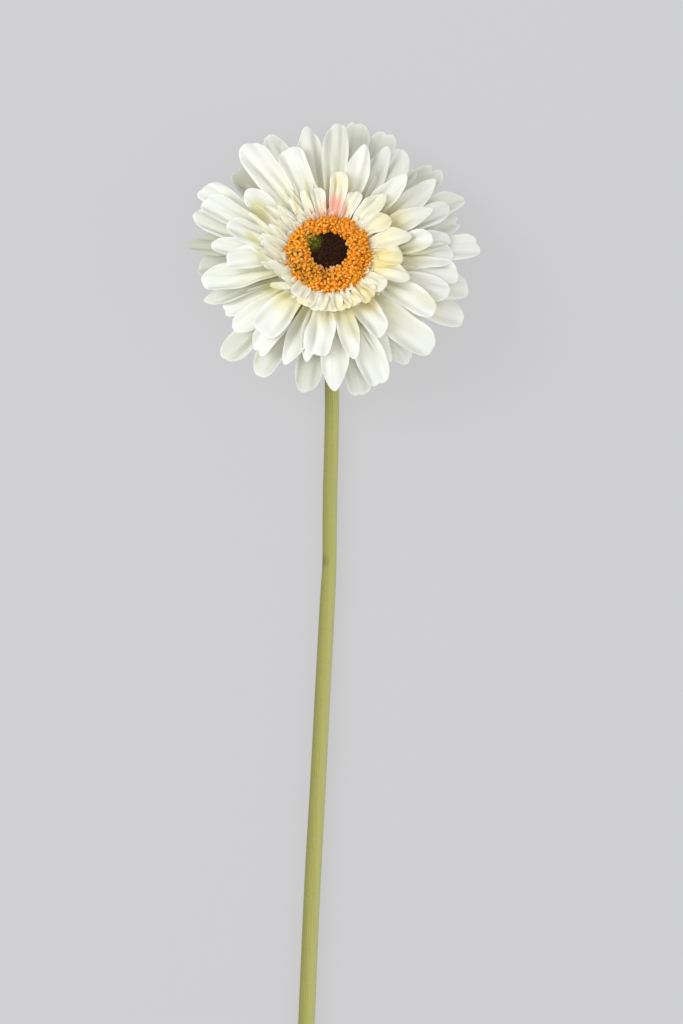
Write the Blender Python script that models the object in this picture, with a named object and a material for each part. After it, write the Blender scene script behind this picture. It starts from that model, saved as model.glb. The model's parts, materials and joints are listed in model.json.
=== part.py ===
"""A cut gerbera, lying on its back on a flat surface with its bloom facing up.

Metres, +Z up. The surface is z = 0 and the stem runs towards -Y. The origin is the middle of the
bounding box's base. The bloom leans towards +Y, so that its lowest ray petals and the stem carry it.
"""

import math
import random

import bmesh
import bpy
from mathutils import Matrix, Vector

MM = 0.001
CLEARANCE = 0.3 * MM  # between pieces that touch

# The bloom: its own +Z is the way it faces, and its origin is the middle of the receptacle's top.
HEAD_CENTRE = Vector((-1.9, 197.9, 30.0)) * MM
HEAD_LEAN = math.radians(24)
DISC_MIDDLE_Y = HEAD_CENTRE.y + 1.9 * MM  # the disc's middle, seen from above

# Receptacle: the pale flat top of the stalk that every floret grows from, as (radius, height).
RECEPTACLE_PROFILE = ((0, -2.6), (12.4, -2.6), (14.2, -1.0), (14.2, 0.6), (12.6, 1.4), (0, 1.4))
RECEPTACLE_SIDES = 28

# Ray petals, each as (direction seen from above in degrees, reach from the disc's middle in mm,
# width in mm, height of the tip above the surface in mm).
OUTER_PETALS = (
    (3, 57.0, 10.5, 21),
    (15.5, 50.7, 9.5, 13),
    (24, 55.8, 9, 9),
    (38, 53.4, 11.5, -1.6),
    (47, 46.5, 9, 3),
    (65, 51.0, 11, -1.6),
    (77, 50.5, 11, -1.6),
    (117.5, 50.4, 10, -1.6),
    (137.5, 48.2, 9.5, -1.6),
    (151.5, 55.0, 10.5, 9),
    (164.5, 53.3, 9, 12),
    (174.5, 52.9, 10.5, 10),
    (184, 50.5, 11, 13),
    (200.5, 50.6, 10, 21),
    (208.5, 45, 9, 25),
    (224.5, 56.4, 11.5, 21),
    (239.5, 53.2, 11.5, 29),
    (260.5, 53.3, 11, 33),
    (283, 55, 9.5, 33),
    (306, 51, 9, 31),
    (322, 47, 9, 27),
    (334, 56.6, 12, 28),
    (346, 55, 11.5, 26),
)
MIDDLE_PETALS = (
    (8.5, 46.5, 9, 26),
    (22.5, 49.5, 9.5, 19),
    (34, 49.2, 10, 16),
    (53.5, 48.4, 10, 11),
    (61, 46, 9.5, 14),
    (86.5, 49.2, 10, 10),
    (99.5, 48.2, 11.5, 9),
    (157, 51.3, 10, 18),
    (175, 44.5, 8, 24),
    (192, 48.8, 11.5, 28),
    (218.5, 46, 9.5, 33),
    (233, 46.5, 9.5, 37),
    (249, 45, 9, 39),
    (257, 41.7, 8, 41),
    (273.5, 52, 11.5, 41),
    (291.5, 53, 11, 40),
    (300, 47, 8.5, 39),
    (316.5, 53.6, 13.5, 38),
    (342, 48, 10.5, 34),
    (351.5, 49.5, 10, 30),
    (359.5, 47.4, 11, 28),
)
UPPER_PETALS = (
    (9, 39.8, 9, 33),
    (24, 43, 8.5, 27),
    (45, 42, 9.5, 23),
    (72, 43.5, 10, 19),
    (111.5, 43.4, 10, 18),
    (127.5, 52.6, 13, 15),
    (144, 39.7, 9, 25),
    (163, 40, 9.5, 28),
    (183, 39, 10, 33),
    (229, 39.5, 12.5, 43),
    (263, 38.6, 11, 46),
    (285, 41, 9, 46),
    (304, 37, 10.5, 45),
    (331, 46, 10.5, 41),
)
# How each row grows: root radius and height in mm, then degrees of rise at the root, above the
# bloom's own plane, and of droop at the tip, below the line from root to tip.
PETAL_ROWS = (
    (OUTER_PETALS, 10.5, -1.6, 2, 15),
    (MIDDLE_PETALS, 10.5, -0.8, 10, 14),
    (UPPER_PETALS, 10.5, -0.1, 18, 10),
)
PRESSED_SLOPE = math.radians(-7)  # of a tip that the surface bends flat, one given below it
PETAL_THICKNESS = 0.7 * MM
PETAL_STATIONS = (0.0, 0.28, 0.58, 0.86, 0.96, 1.0)  # shares of the length
PETAL_COLUMNS = 3
PETAL_CLAW = 0.34  # width at the root, as a share of the full width
PETAL_TIP = 0.4  # width at the tip
PETAL_CUP = (0.5, 0.16)  # hollow across, as a share of the half width: at the root, past the middle
PETAL_CUP_SPREAD = 0.14
PETAL_CUP_LEVEL = 0.35  # share of the hollow that lies below the petal's middle line
PETAL_ROLL = math.radians(7)
PETAL_LEAD = 0.36  # how far each end's direction leads the curve, as a share of the length

# Inner petals: short narrow florets standing round the disc in two whorls, as (count, length in mm,
# width in mm, degrees of rise above the bloom's plane, root height in mm).
INNER_WHORLS = ((17, 18.0, 5.2, 34, -0.2), (17, 13.5, 4.0, 42, 0.1))
INNER_RISE_EARLY = 0.5  # share of the rise at the root, under the disc's edge
INNER_ROOT_RADIUS = 11.6 * MM
INNER_THICKNESS = 0.65 * MM
INNER_STATIONS = (0.0, 0.35, 0.75, 1.0)
INNER_COLUMNS = 2
INNER_CUP = (0.5, 0.3)

# Disc: a ring of open orange florets round a heart of closed dark ones, as (radius, height).
RING_PROFILE = (
    (8.8, 1.7),
    (11.8, 1.7),
    (15.6, 3.9),
    (15.8, 4.7),
    (14.3, 6.5),
    (11.9, 7.6),
    (9.5, 7.7),
    (8.8, 7.0),
)
RING_SIDES = 36
# Rows of anthers, each as (radius in mm, how many, degrees of lean outwards).
ANTHER_ROWS = ((15.6, 30, 62), (14.2, 28, 36), (12.6, 25, 18), (11.0, 21, 4), (9.6, 17, -16))
ANTHER_RADII = (0.56 * MM, 0.8 * MM)  # at the foot and at the top
ANTHER_HEIGHT = 1.9 * MM
ANTHER_SINK = 0.4  # share of its height that an anther's foot lies inside the ring
ANTHER_SIDES = 4
HEART_PROFILE = ((0, 1.7), (8.3, 1.7), (8.3, 5.9), (6.2, 6.6), (3.2, 7.0), (0, 7.1))
HEART_SIDES = 24
HEART_BUDS = 38
BUD_RADII = (1.0 * MM, 0.5 * MM)  # at the foot and at the top
BUD_HEIGHT = 0.55 * MM  # over the heart, and as deep inside it
BUD_LEAN = 0.25  # outwards at the heart's edge, as a slope
BUD_SIDES = 4
GOLDEN_ANGLE = math.radians(137.5)

# Involucre: the green cup under the bloom, as (radius, height), with rows of pointed bracts.
CUP_PROFILE = (
    (0, -16.6),
    (3.1, -16.6),
    (4.3, -15.6),
    (8.2, -12.6),
    (11.2, -8.2),
    (12.4, -4.2),
    (12.2, -2.9),
    (0, -2.9),
)
CUP_SIDES = 26
# Rows of bracts, each as (count, foot height, tip height, width in mm, turn as a share of one step).
BRACT_ROWS = ((11, -15.8, -10.6, 3.2, 0.3), (13, -13.4, -6.4, 3.8, 0.0), (13, -10.2, -3.3, 3.6, 0.5))
BRACT_SHAPE = ((0.0, 0.8), (0.45, 1.0), (1.0, 0.16))  # share of the length, share of the width
BRACT_LIFT = (0.7 * MM, 1.3 * MM)  # of the ridge over the cup, at the foot and at the tip
BRACT_SINK = 0.8 * MM

# Stem: (x, y, underside above the surface, radius) in mm, x and y from the disc's middle.
STEM_ROUTE = (
    (0.6, -26.0, 1.0, 2.70),
    (1.1, -52.0, 0.7, 2.68),
    (0.9, -71.0, 0.5, 2.70),
    (0.4, -89.0, 0.4, 2.72),
    (0.2, -107.0, 0.3, 2.68),
    (0.1, -117.5, 0.3, 2.62),
    (-0.6, -131.0, 0.1, 2.85),
    (-2.5, -167.0, 0.0, 2.92),
    (-4.4, -204.0, 0.0, 2.98),
    (-6.4, -240.0, 0.0, 3.05),
    (-8.5, -289.0, 0.0, 3.10),
    (-10.6, -340.0, 0.0, 3.15),
    (-12.4, -395.0, 0.0, 3.20),
    (-13.6, -448.0, 0.0, 3.30),
)
STEM_SIDES = 12
STEM_SPANS = 2  # stations between two points of the route
NECK_RADIUS = 2.75 * MM
NECK_STEPS = 7
NECK_REACH = 7.5 * MM  # how far the neck's curve is led by each of its ends
CUT_SLANT = 0.5  # the florist's cut, as its rise over the stem's width

COLOURS = {
    "petal_white": ((0.90, 0.90, 0.82), 0.62),
    "floret_orange": ((0.90, 0.31, 0.03), 0.70),
    "floret_dark": ((0.035, 0.014, 0.016), 0.60),
    "stem_green": ((0.40, 0.41, 0.14), 0.50),
    "cup_green": ((0.27, 0.34, 0.10), 0.58),
}

SHARP_EDGE = math.radians(35)
HEAD_FRAME = Matrix.Translation(HEAD_CENTRE) @ Matrix.Rotation(-HEAD_LEAN, 4, "X")
HEAD_AXIS = HEAD_FRAME.to_3x3() @ Vector((0, 0, 1))
draw = random.Random(41)


def clear_scene():
    for obj in list(bpy.data.objects):
        bpy.data.objects.remove(obj)


def material(name):
    colour, roughness = COLOURS[name]
    made = bpy.data.materials.new(name)
    made.use_nodes = True
    shader = made.node_tree.nodes["Principled BSDF"]
    shader.inputs["Base Color"].default_value = (*colour, 1)
    shader.inputs["Roughness"].default_value = roughness
    return made


def add_object(name, points, faces, finish=None, parent=None):
    """A mesh object with its faces pointing out."""
    mesh = bpy.data.meshes.new(name)
    mesh.from_pydata(points, [], faces)
    solid = bmesh.new()
    solid.from_mesh(mesh)
    bmesh.ops.recalc_face_normals(solid, faces=solid.faces)
    solid.to_mesh(mesh)
    solid.free()
    obj = bpy.data.objects.new(name, mesh)
    bpy.context.scene.collection.objects.link(obj)
    if finish:
        mesh.materials.append(finish)
    obj.parent = parent
    return obj


def fuse(body, repeats):
    """Joins the repeats into the body by one Boolean union, and removes them."""
    group = bpy.data.collections.new("repeats")
    bpy.context.scene.collection.children.link(group)
    for obj in repeats:
        bpy.context.scene.collection.objects.unlink(obj)
        group.objects.link(obj)
        obj.parent = body.parent
    union = body.modifiers.new("fuse", "BOOLEAN")
    union.operation = "UNION"
    union.operand_type = "COLLECTION"
    union.collection = group
    bpy.context.view_layer.update()
    evaluated = body.evaluated_get(bpy.context.evaluated_depsgraph_get())
    joined = bpy.data.meshes.new_from_object(evaluated)
    body.modifiers.remove(union)
    body.data = joined
    drop_pockets(joined)
    for obj in repeats:
        bpy.data.objects.remove(obj)
    bpy.data.collections.remove(group)


def shade(obj):
    """Smooth shading, with the edges that are sharper than SHARP_EDGE kept."""
    obj.data.shade_smooth()
    obj.data.set_sharp_from_angle(angle=SHARP_EDGE)


def drop_pockets(mesh):
    """Keeps the outer skin, without the sealed pockets that crossing petals can leave."""
    skin = bmesh.new()
    skin.from_mesh(mesh)
    reached = {max(skin.verts, key=lambda vert: vert.co.length)}
    fresh = set(reached)
    while fresh:
        fresh = {edge.other_vert(vert) for vert in fresh for edge in vert.link_edges} - reached
        reached |= fresh
    inner = [vert for vert in skin.verts if vert not in reached]
    bmesh.ops.delete(skin, geom=inner, context="VERTS")
    skin.to_mesh(mesh)
    skin.free()


def turned(profile, sides):
    """Points and faces of a profile of (radius, height) turned about Z. A radius of 0 closes an end."""
    points, rings = [], []
    for radius, height in profile:
        if radius == 0:
            rings.append([len(points)] * sides)
            points.append(Vector((0, 0, height)))
            continue
        rings.append(list(range(len(points), len(points) + sides)))
        for side in range(sides):
            angle = math.tau * side / sides
            points.append(radial(angle) * radius + Vector((0, 0, height)))
    pairs = list(zip(rings, rings[1:]))
    if profile[0][0] and profile[-1][0]:
        pairs.append((rings[-1], rings[0]))
    faces = []
    for low, high in pairs:
        for side in range(sides):
            after = (side + 1) % sides
            corners = (low[side], low[after], high[after], high[side])
            faces.append(tuple(dict.fromkeys(corners)))
    return points, faces


def scaled(profile):
    return [(radius * MM, height * MM) for radius, height in profile]


def radial(angle):
    return Vector((math.cos(angle), math.sin(angle), 0))


def rising(level, angle):
    """A level direction turned up by an angle."""
    return level * math.cos(angle) + Vector((0, 0, math.sin(angle)))


def blade(name, stations, thickness, to_local):
    """A thin closed petal over stations of (points, normals), split alike on both faces.

    Where it would pass below the surface it lies flat on it.
    """
    top, bottom = [], []
    for points, normals in stations:
        for point, normal in zip(points, normals):
            upper = point + normal * thickness / 2
            lower = point - normal * thickness / 2
            upper.z = max(upper.z, thickness)
            lower.z = max(lower.z, 0.0)
            top.append(to_local @ upper)
            bottom.append(to_local @ lower)
    rows, columns, under = len(stations), len(stations[0][0]), len(top)

    def corner(row, column):
        return row * columns + column

    faces = []
    for row in range(rows - 1):
        for column in range(columns - 1):
            a, b = corner(row, column), corner(row, column + 1)
            c, d = corner(row + 1, column + 1), corner(row + 1, column)
            halves = ((a, b, c), (a, c, d)) if column < (columns - 1) / 2 else ((a, b, d), (b, c, d))
            for half in halves:
                faces.append(half)
                faces.append(tuple(under + index for index in reversed(half)))
    rim = [corner(row, 0) for row in range(rows)]
    rim += [corner(rows - 1, column) for column in range(1, columns)]
    rim += [corner(row, columns - 1) for row in reversed(range(rows - 1))]
    rim += [corner(0, column) for column in reversed(range(1, columns - 1))]
    for here, there in zip(rim, rim[1:] + rim[:1]):
        faces.append((here, there, under + there))
        faces.append((here, under + there, under + here))
    return add_object(name, top + bottom, faces)


def bezier(points, share):
    a, b, c, d = points
    rest = 1 - share
    place = a * rest**3 + b * 3 * share * rest**2 + c * 3 * share**2 * rest + d * share**3
    tangent = (b - a) * rest**2 + (c - b) * 2 * share * rest + (d - c) * share**2
    return place, tangent.normalized()


def petal_width(share):
    """Width along a petal, as a share of its full width: a narrow claw, then a strap, then a round tip."""
    grown = min(share / 0.75, 1.0)
    strap = PETAL_CLAW + (1 - PETAL_CLAW) * grown * grown * (3 - 2 * grown)
    past = min(max((share - 0.84) / 0.16, 0.0), 1.0)
    return strap * max(math.sqrt(1 - past**3), PETAL_TIP)


def petal_stations(route, width, shares, columns, cup, roll):
    """The middle surface along a Bezier route, as points and normals across each station."""
    stations = []
    for share in shares:
        place, tangent = bezier(route, share)
        side = Matrix.Rotation(roll * share, 3, tangent) @ tangent.cross(HEAD_AXIS).normalized()
        up = side.cross(tangent)
        half = width * petal_width(share) / 2
        hollow = cup[0] + (cup[1] - cup[0]) * min(share / 0.6, 1.0)
        points, normals = [], []
        for column in range(columns + 1):
            across = 2 * column / columns - 1
            depth = hollow * (across**2 - PETAL_CUP_LEVEL)
            points.append(place + (side * across + up * depth) * half)
            normals.append((up - side * 2 * hollow * across).normalized())
        stations.append((points, normals))
    return stations


def ray_petal(name, petal, row):
    """One long petal, from its root in the receptacle to its tip's place and height."""
    direction, reach, width, tip_height = petal
    _, root_radius, root_height, rise, droop = row
    heading = math.radians(direction)
    seen = radial(heading)
    tip = Vector((HEAD_CENTRE.x, DISC_MIDDLE_Y, 0)) + seen * reach * MM
    tip.z = tip_height * MM
    around = math.atan2(math.sin(heading) / math.cos(HEAD_LEAN), math.cos(heading))
    root = HEAD_FRAME @ (radial(around) * root_radius * MM + Vector((0, 0, root_height * MM)))
    out = HEAD_FRAME.to_3x3() @ rising(radial(around), math.radians(rise))
    chord = tip - root
    flat = Vector((chord.x, chord.y, 0))
    slope = math.atan2(chord.z, flat.length) - math.radians(droop)
    if tip_height < 0:
        slope = PRESSED_SLOPE
    end = rising(flat.normalized(), slope)
    lead = chord.length * PETAL_LEAD
    route = (root, root + out * lead, tip - end * lead, tip)
    cup = (PETAL_CUP[0], PETAL_CUP[1] + draw.uniform(-1, 1) * PETAL_CUP_SPREAD)
    roll = draw.uniform(-1, 1) * PETAL_ROLL
    stations = petal_stations(route, width * MM, PETAL_STATIONS, PETAL_COLUMNS, cup, roll)
    return blade(name, stations, PETAL_THICKNESS, HEAD_FRAME.inverted())


def inner_petal(name, whorl, number):
    """One short petal beside the disc, rising and then curling out."""
    count, length, width, rise, root_height = whorl
    around = math.tau * (number + draw.uniform(-0.2, 0.2)) / count
    length = length * MM * draw.uniform(0.85, 1.12)
    rise = math.radians(rise + draw.uniform(-5, 5))
    root = radial(around) * INNER_ROOT_RADIUS + Vector((0, 0, root_height * MM))
    leaning = radial(around + draw.uniform(-0.15, 0.15))
    low = root + rising(radial(around), rise * INNER_RISE_EARLY) * length * 0.4
    high = low + rising(leaning, rise) * length * 0.35
    tip = high + rising(leaning, rise * INNER_RISE_EARLY) * length * 0.25
    route = [HEAD_FRAME @ point for point in (root, low, high, tip)]
    stations = petal_stations(route, width * MM, INNER_STATIONS, INNER_COLUMNS, INNER_CUP, 0)
    return blade(name, stations, INNER_THICKNESS, HEAD_FRAME.inverted())


def build_petals(head):
    """Receptacle, three rows of ray petals and two whorls of inner petals, as one grown body."""
    points, faces = turned(scaled(RECEPTACLE_PROFILE), RECEPTACLE_SIDES)
    petals = add_object("petals", points, faces, material("petal_white"), head)
    repeats = []
    for row in PETAL_ROWS:
        for petal in row[0]:
            repeats.append(ray_petal(f"ray_{len(repeats)}", petal, row))
    for whorl in INNER_WHORLS:
        for number in range(whorl[0]):
            repeats.append(inner_petal(f"inner_{len(repeats)}", whorl, number))
    fuse(petals, repeats)


def stub(name, foot, top, radii, sides, turn):
    """A short many-sided peg from foot to top, with a radius at each."""
    axis = (top - foot).normalized()
    across = axis.orthogonal().normalized()
    beside = axis.cross(across)
    points = []
    for end, radius in zip((foot, top), radii):
        for side in range(sides):
            angle = turn + math.tau * side / sides
            points.append(end + (across * math.cos(angle) + beside * math.sin(angle)) * radius)
    faces = [tuple(range(sides)), tuple(range(sides, 2 * sides))]
    for side in range(sides):
        after = (side + 1) % sides
        faces.append((side, after, after + sides, side + sides))
    return add_object(name, points, faces)


def height_at(profile, radius):
    """Height of a turned shape's upper side at a radius, from its (radius, height) points going in."""
    for (outer, low), (inner, high) in zip(profile, profile[1:]):
        if inner <= radius <= outer:
            return low + (high - low) * (outer - radius) / (outer - inner)
    return profile[0][1]


def build_ring(head):
    points, faces = turned(scaled(RING_PROFILE), RING_SIDES)
    ring = add_object("floret_ring", points, faces, material("floret_orange"), head)
    upper = scaled(RING_PROFILE[3:])
    anthers = []
    for radius, count, lean in ANTHER_ROWS:
        for number in range(count):
            around = math.tau * (number + draw.uniform(-0.25, 0.25)) / count
            reach = (radius + draw.uniform(-0.3, 0.3)) * MM
            tilt = math.radians(lean + draw.uniform(-10, 10))
            axis = rising(radial(around + draw.uniform(-0.3, 0.3)), math.pi / 2 - tilt)
            height = ANTHER_HEIGHT * draw.uniform(0.8, 1.25)
            place = radial(around) * reach + Vector((0, 0, height_at(upper, reach)))
            foot = place - axis * height * ANTHER_SINK
            top = place + axis * height
            turn = draw.uniform(0, math.tau)
            anthers.append(stub(f"anther_{len(anthers)}", foot, top, ANTHER_RADII, ANTHER_SIDES, turn))
    fuse(ring, anthers)


def build_heart(head):
    """The dark middle, its closed buds set on the golden angle's spirals."""
    points, faces = turned(scaled(HEART_PROFILE), HEART_SIDES)
    heart = add_object("floret_heart", points, faces, material("floret_dark"), head)
    upper = scaled(HEART_PROFILE[2:])
    widest = upper[0][0] - BUD_RADII[0]
    buds = []
    for number in range(HEART_BUDS):
        around = number * GOLDEN_ANGLE
        share = math.sqrt((number + 0.5) / HEART_BUDS)
        place = radial(around) * widest * share
        place.z = height_at(upper, widest * share)
        rise = (radial(around) * share * BUD_LEAN + Vector((0, 0, 1))) * BUD_HEIGHT
        buds.append(stub(f"bud_{number}", place - rise, place + rise, BUD_RADII, BUD_SIDES, around))
    fuse(heart, buds)


def cup_radius(height):
    """Radius of the involucre's outside at a height."""
    side = CUP_PROFILE[1:7]
    for (inner, low), (outer, high) in zip(side, side[1:]):
        if low <= height <= high:
            return inner + (outer - inner) * (height - low) / (high - low)
    return side[-1][0]


def bract(name, around, foot, tip, width):
    """A pointed scale pressed to the cup: a ridge with a three-sided section, tapering to its tip."""
    across = Vector((-math.sin(around), math.cos(around), 0))
    points = []
    for share, spread in BRACT_SHAPE:
        height = foot + (tip - foot) * share
        surface = radial(around) * cup_radius(height) * MM + Vector((0, 0, height * MM))
        lift = BRACT_LIFT[0] + (BRACT_LIFT[1] - BRACT_LIFT[0]) * share
        half = width * MM * spread / 2
        points += [
            surface - radial(around) * BRACT_SINK + across * half,
            surface - radial(around) * BRACT_SINK - across * half,
            surface + radial(around) * lift,
        ]
    faces = [(0, 1, 2), (8, 7, 6)]
    for low in (0, 3):
        for corner in range(3):
            after = (corner + 1) % 3
            faces.append((low + corner, low + after, low + after + 3, low + corner + 3))
    return add_object(name, points, faces)


def build_cup(head):
    points, faces = turned(scaled(CUP_PROFILE), CUP_SIDES)
    cup = add_object("involucre", points, faces, material("cup_green"), head)
    bracts = []
    for count, foot, tip, width, turn in BRACT_ROWS:
        for number in range(count):
            around = math.tau * (number + turn) / count
            bracts.append(bract(f"bract_{len(bracts)}", around, foot, tip, width))
    fuse(cup, bracts)


def smooth_route(points, spans):
    """Stations of a Catmull-Rom curve through points of four numbers each."""
    padded = [Vector(point) for point in (points[0], *points, points[-1])]
    stations = []
    for a, b, c, d in zip(padded, padded[1:], padded[2:], padded[3:]):
        for step in range(spans):
            t = step / spans
            bend = (2 * a - 5 * b + 4 * c - d) * t**2 + (3 * b - a - 3 * c + d) * t**3
            stations.append((2 * b + (c - a) * t + bend) / 2)
    stations.append(padded[-1])
    return stations


def stem_stations():
    """Stations of the stem from the cup to the cut, as (place, radius)."""
    flat = math.cos(math.pi / STEM_SIDES)
    lying = []
    for x, y, lift, radius in smooth_route(STEM_ROUTE, STEM_SPANS):
        place = Vector((x, y, max(lift, 0.0) + radius * flat)) * MM
        lying.append((place + Vector((HEAD_CENTRE.x, DISC_MIDDLE_Y, 0)), radius * MM))
    joint = HEAD_FRAME @ Vector((0, 0, CUP_PROFILE[0][1] * MM - CLEARANCE))
    first = lying[0][0]
    onward = (lying[1][0] - first).normalized()
    neck = (joint, joint - HEAD_AXIS * NECK_REACH, first - onward * NECK_REACH, first)
    curve = [(bezier(neck, step / NECK_STEPS)[0], NECK_RADIUS) for step in range(NECK_STEPS)]
    return curve + lying


def build_stem():
    """The stalk, swept with one flat side down where it lies, and cut on a slant."""
    stations = stem_stations()
    places = [place for place, _ in stations]
    points = []
    for index, (place, radius) in enumerate(stations):
        ahead = places[min(index + 1, len(places) - 1)] - places[max(index - 1, 0)]
        if index == 0:
            ahead = -HEAD_AXIS
        ahead.normalize()
        side = (Vector((1, 0, 0)) - ahead * ahead.x).normalized()
        up = side.cross(ahead)
        for number in range(STEM_SIDES):
            angle = math.tau * (number + 0.5) / STEM_SIDES
            offset = side * math.cos(angle) * radius + up * math.sin(angle) * radius
            if index == len(stations) - 1:
                offset += ahead * math.sin(angle) * radius * CUT_SLANT
            points.append(place + offset)
    sides = range(STEM_SIDES)
    last = len(points) - STEM_SIDES
    faces = [tuple(sides), tuple(last + side for side in sides)]
    for low in range(0, last, STEM_SIDES):
        for side in sides:
            after = (side + 1) % STEM_SIDES
            faces.append((low + side, low + after, low + after + STEM_SIDES, low + side + STEM_SIDES))
    add_object("stem", points, faces, material("stem_green"))


def main():
    clear_scene()
    head = bpy.data.objects.new("head", None)
    bpy.context.scene.collection.objects.link(head)
    head.location = HEAD_CENTRE
    head.rotation_euler.x = -HEAD_LEAN
    build_petals(head)
    build_ring(head)
    build_heart(head)
    build_cup(head)
    build_stem()
    for obj in bpy.data.objects:
        if obj.type == "MESH":
            shade(obj)


main()
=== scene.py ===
"""Dresses the frame of a cut gerbera: its petals, disc florets, involucre, stem and stage.

Laid out as an add-on and run as a script. Metres, +Z up. The flower lies on z = 0 with its bloom
facing up and its stem towards -Y, where its frame has it.
"""

import json
import math
import random

import bpy
import numpy as np
from bpy.props import FloatProperty, FloatVectorProperty, IntProperty, PointerProperty
from mathutils import Matrix, Vector

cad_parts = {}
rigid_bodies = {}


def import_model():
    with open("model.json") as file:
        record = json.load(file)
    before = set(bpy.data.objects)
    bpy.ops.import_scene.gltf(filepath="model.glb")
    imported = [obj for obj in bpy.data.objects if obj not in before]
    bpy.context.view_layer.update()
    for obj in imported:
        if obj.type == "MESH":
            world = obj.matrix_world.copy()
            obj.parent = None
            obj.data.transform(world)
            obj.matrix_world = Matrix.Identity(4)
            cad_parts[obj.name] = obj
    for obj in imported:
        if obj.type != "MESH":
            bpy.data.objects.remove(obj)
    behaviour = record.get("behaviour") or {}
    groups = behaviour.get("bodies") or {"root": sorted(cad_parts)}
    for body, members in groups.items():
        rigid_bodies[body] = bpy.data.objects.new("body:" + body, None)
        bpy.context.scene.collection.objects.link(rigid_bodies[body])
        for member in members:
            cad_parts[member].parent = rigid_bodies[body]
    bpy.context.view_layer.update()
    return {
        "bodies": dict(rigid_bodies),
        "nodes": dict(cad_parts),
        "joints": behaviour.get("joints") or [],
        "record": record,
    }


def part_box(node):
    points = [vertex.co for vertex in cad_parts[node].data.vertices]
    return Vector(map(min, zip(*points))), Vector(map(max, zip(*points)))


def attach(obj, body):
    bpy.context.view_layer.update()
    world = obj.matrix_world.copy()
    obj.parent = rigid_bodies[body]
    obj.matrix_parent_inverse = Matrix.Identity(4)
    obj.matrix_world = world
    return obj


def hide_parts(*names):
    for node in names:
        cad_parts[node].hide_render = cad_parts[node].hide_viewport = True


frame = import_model()

bl_info = {
    "name": "Cut gerbera",
    "version": (1, 0, 0),
    "blender": (4, 5, 0),
    "location": "3D View > Sidebar > Gerbera",
    "description": "Builds the petals, disc, involucre and stem of a cut gerbera on its frame",
    "category": "Add Mesh",
}

MM = 0.001

# The bloom: its own +Z is the way it faces, and its origin is the middle of the receptacle's top.
HEAD_LEAN = math.radians(24)
HEART_RADIUS = 8.3 * MM
HEART_FOOT = 1.7 * MM
HEART_LOW, HEART_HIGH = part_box("floret_heart")
HEAD_CENTRE = Vector((
    (HEART_LOW.x + HEART_HIGH.x) / 2,
    HEART_LOW.y + HEART_RADIUS * math.cos(HEAD_LEAN) - HEART_FOOT * math.sin(HEAD_LEAN),
    HEART_LOW.z + HEART_RADIUS * math.sin(HEAD_LEAN) - HEART_FOOT * math.cos(HEAD_LEAN),
))
HEAD_FRAME = Matrix.Translation(HEAD_CENTRE) @ Matrix.Rotation(-HEAD_LEAN, 4, "X")
HEAD_AXIS = HEAD_FRAME.to_3x3() @ Vector((0, 0, 1))
DISC_RISE = 1.9 * MM  # from the bloom's origin to the disc's middle, both seen from above
DISC_MIDDLE = Vector((HEAD_CENTRE.x, HEAD_CENTRE.y + DISC_RISE, 0))
BED = Matrix.Translation(DISC_MIDDLE)  # the surface that the flower lies on

# Ray petals, each as (direction seen from above in degrees, reach from the disc's middle in mm,
# width in mm, height of the tip above the surface in mm, kind of tip, and how much painted shade greys it).
OUTER_PETALS = (
    (3, 57, 10.5, 21, "blunt"), (15.5, 50.7, 9.5, 13, "notched"), (24, 55.8, 9, 9, "round", 0.14),
    (38, 53.4, 11.5, -1.6, "notched", 0.17), (47, 46.5, 9, 3, "round", 0.18),
    (65, 52, 11, -1.6, "blunt", 0.28), (77, 51.8, 11, -1.6, "blunt", 0.3),
    (117.5, 51.4, 10, -1.6, "round", 0.3), (137.5, 48.2, 9.5, -1.6, "blunt", 0.65),
    (151.5, 55, 10.5, 9, "blunt"), (164.5, 53.3, 9, 12, "round", 0.25),
    (174.5, 52.9, 10.5, 10, "round", 0.85), (184, 50.5, 11, 13, "round", 0.8),
    (200.5, 50.6, 10, 21, "pointed", 0.35), (208.5, 45, 9, 25, "blunt"),
    (224.5, 56.4, 11.5, 21, "round", 0.5), (239.5, 53.2, 11.5, 29, "round", 0.45),
    (260.5, 53.3, 11, 33, "round", 0.4), (283, 55, 9.5, 33, "blunt", 0.3), (306, 51, 9, 31, "round"),
    (322, 47, 9, 27, "round"), (334, 56.6, 12, 28, "round"), (346, 55, 11.5, 26, "round"),
)
MIDDLE_PETALS = (
    (8.5, 46.5, 9, 26, "round"), (22.5, 49.5, 9.5, 19, "round"), (34, 49.2, 10, 16, "pointed"),
    (53.5, 49.2, 10, 11, "round"), (61, 46, 9.5, 14, "pointed", 0.15), (86.5, 50.4, 10, 10, "round", 0.26),
    (99.5, 49.4, 11.5, 9, "pointed", 0.25), (157, 51.3, 10, 18, "blunt"), (175, 44.5, 8, 24, "round"),
    (192, 48.8, 11.5, 28, "round"), (218.5, 46, 9.5, 33, "round"), (233, 46.5, 9.5, 37, "notched"),
    (249, 45, 9, 39, "pointed"), (257, 41.7, 8, 41, "pointed"), (273.5, 52, 11.5, 41, "pointed"),
    (291.5, 53, 11, 40, "blunt"), (300, 47, 8.5, 39, "pointed"), (316.5, 53.6, 13.5, 38, "round"),
    (342, 48, 10.5, 34, "round"), (351.5, 49.5, 10, 30, "blunt"), (359.5, 47.4, 11, 28, "round"),
)
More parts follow.
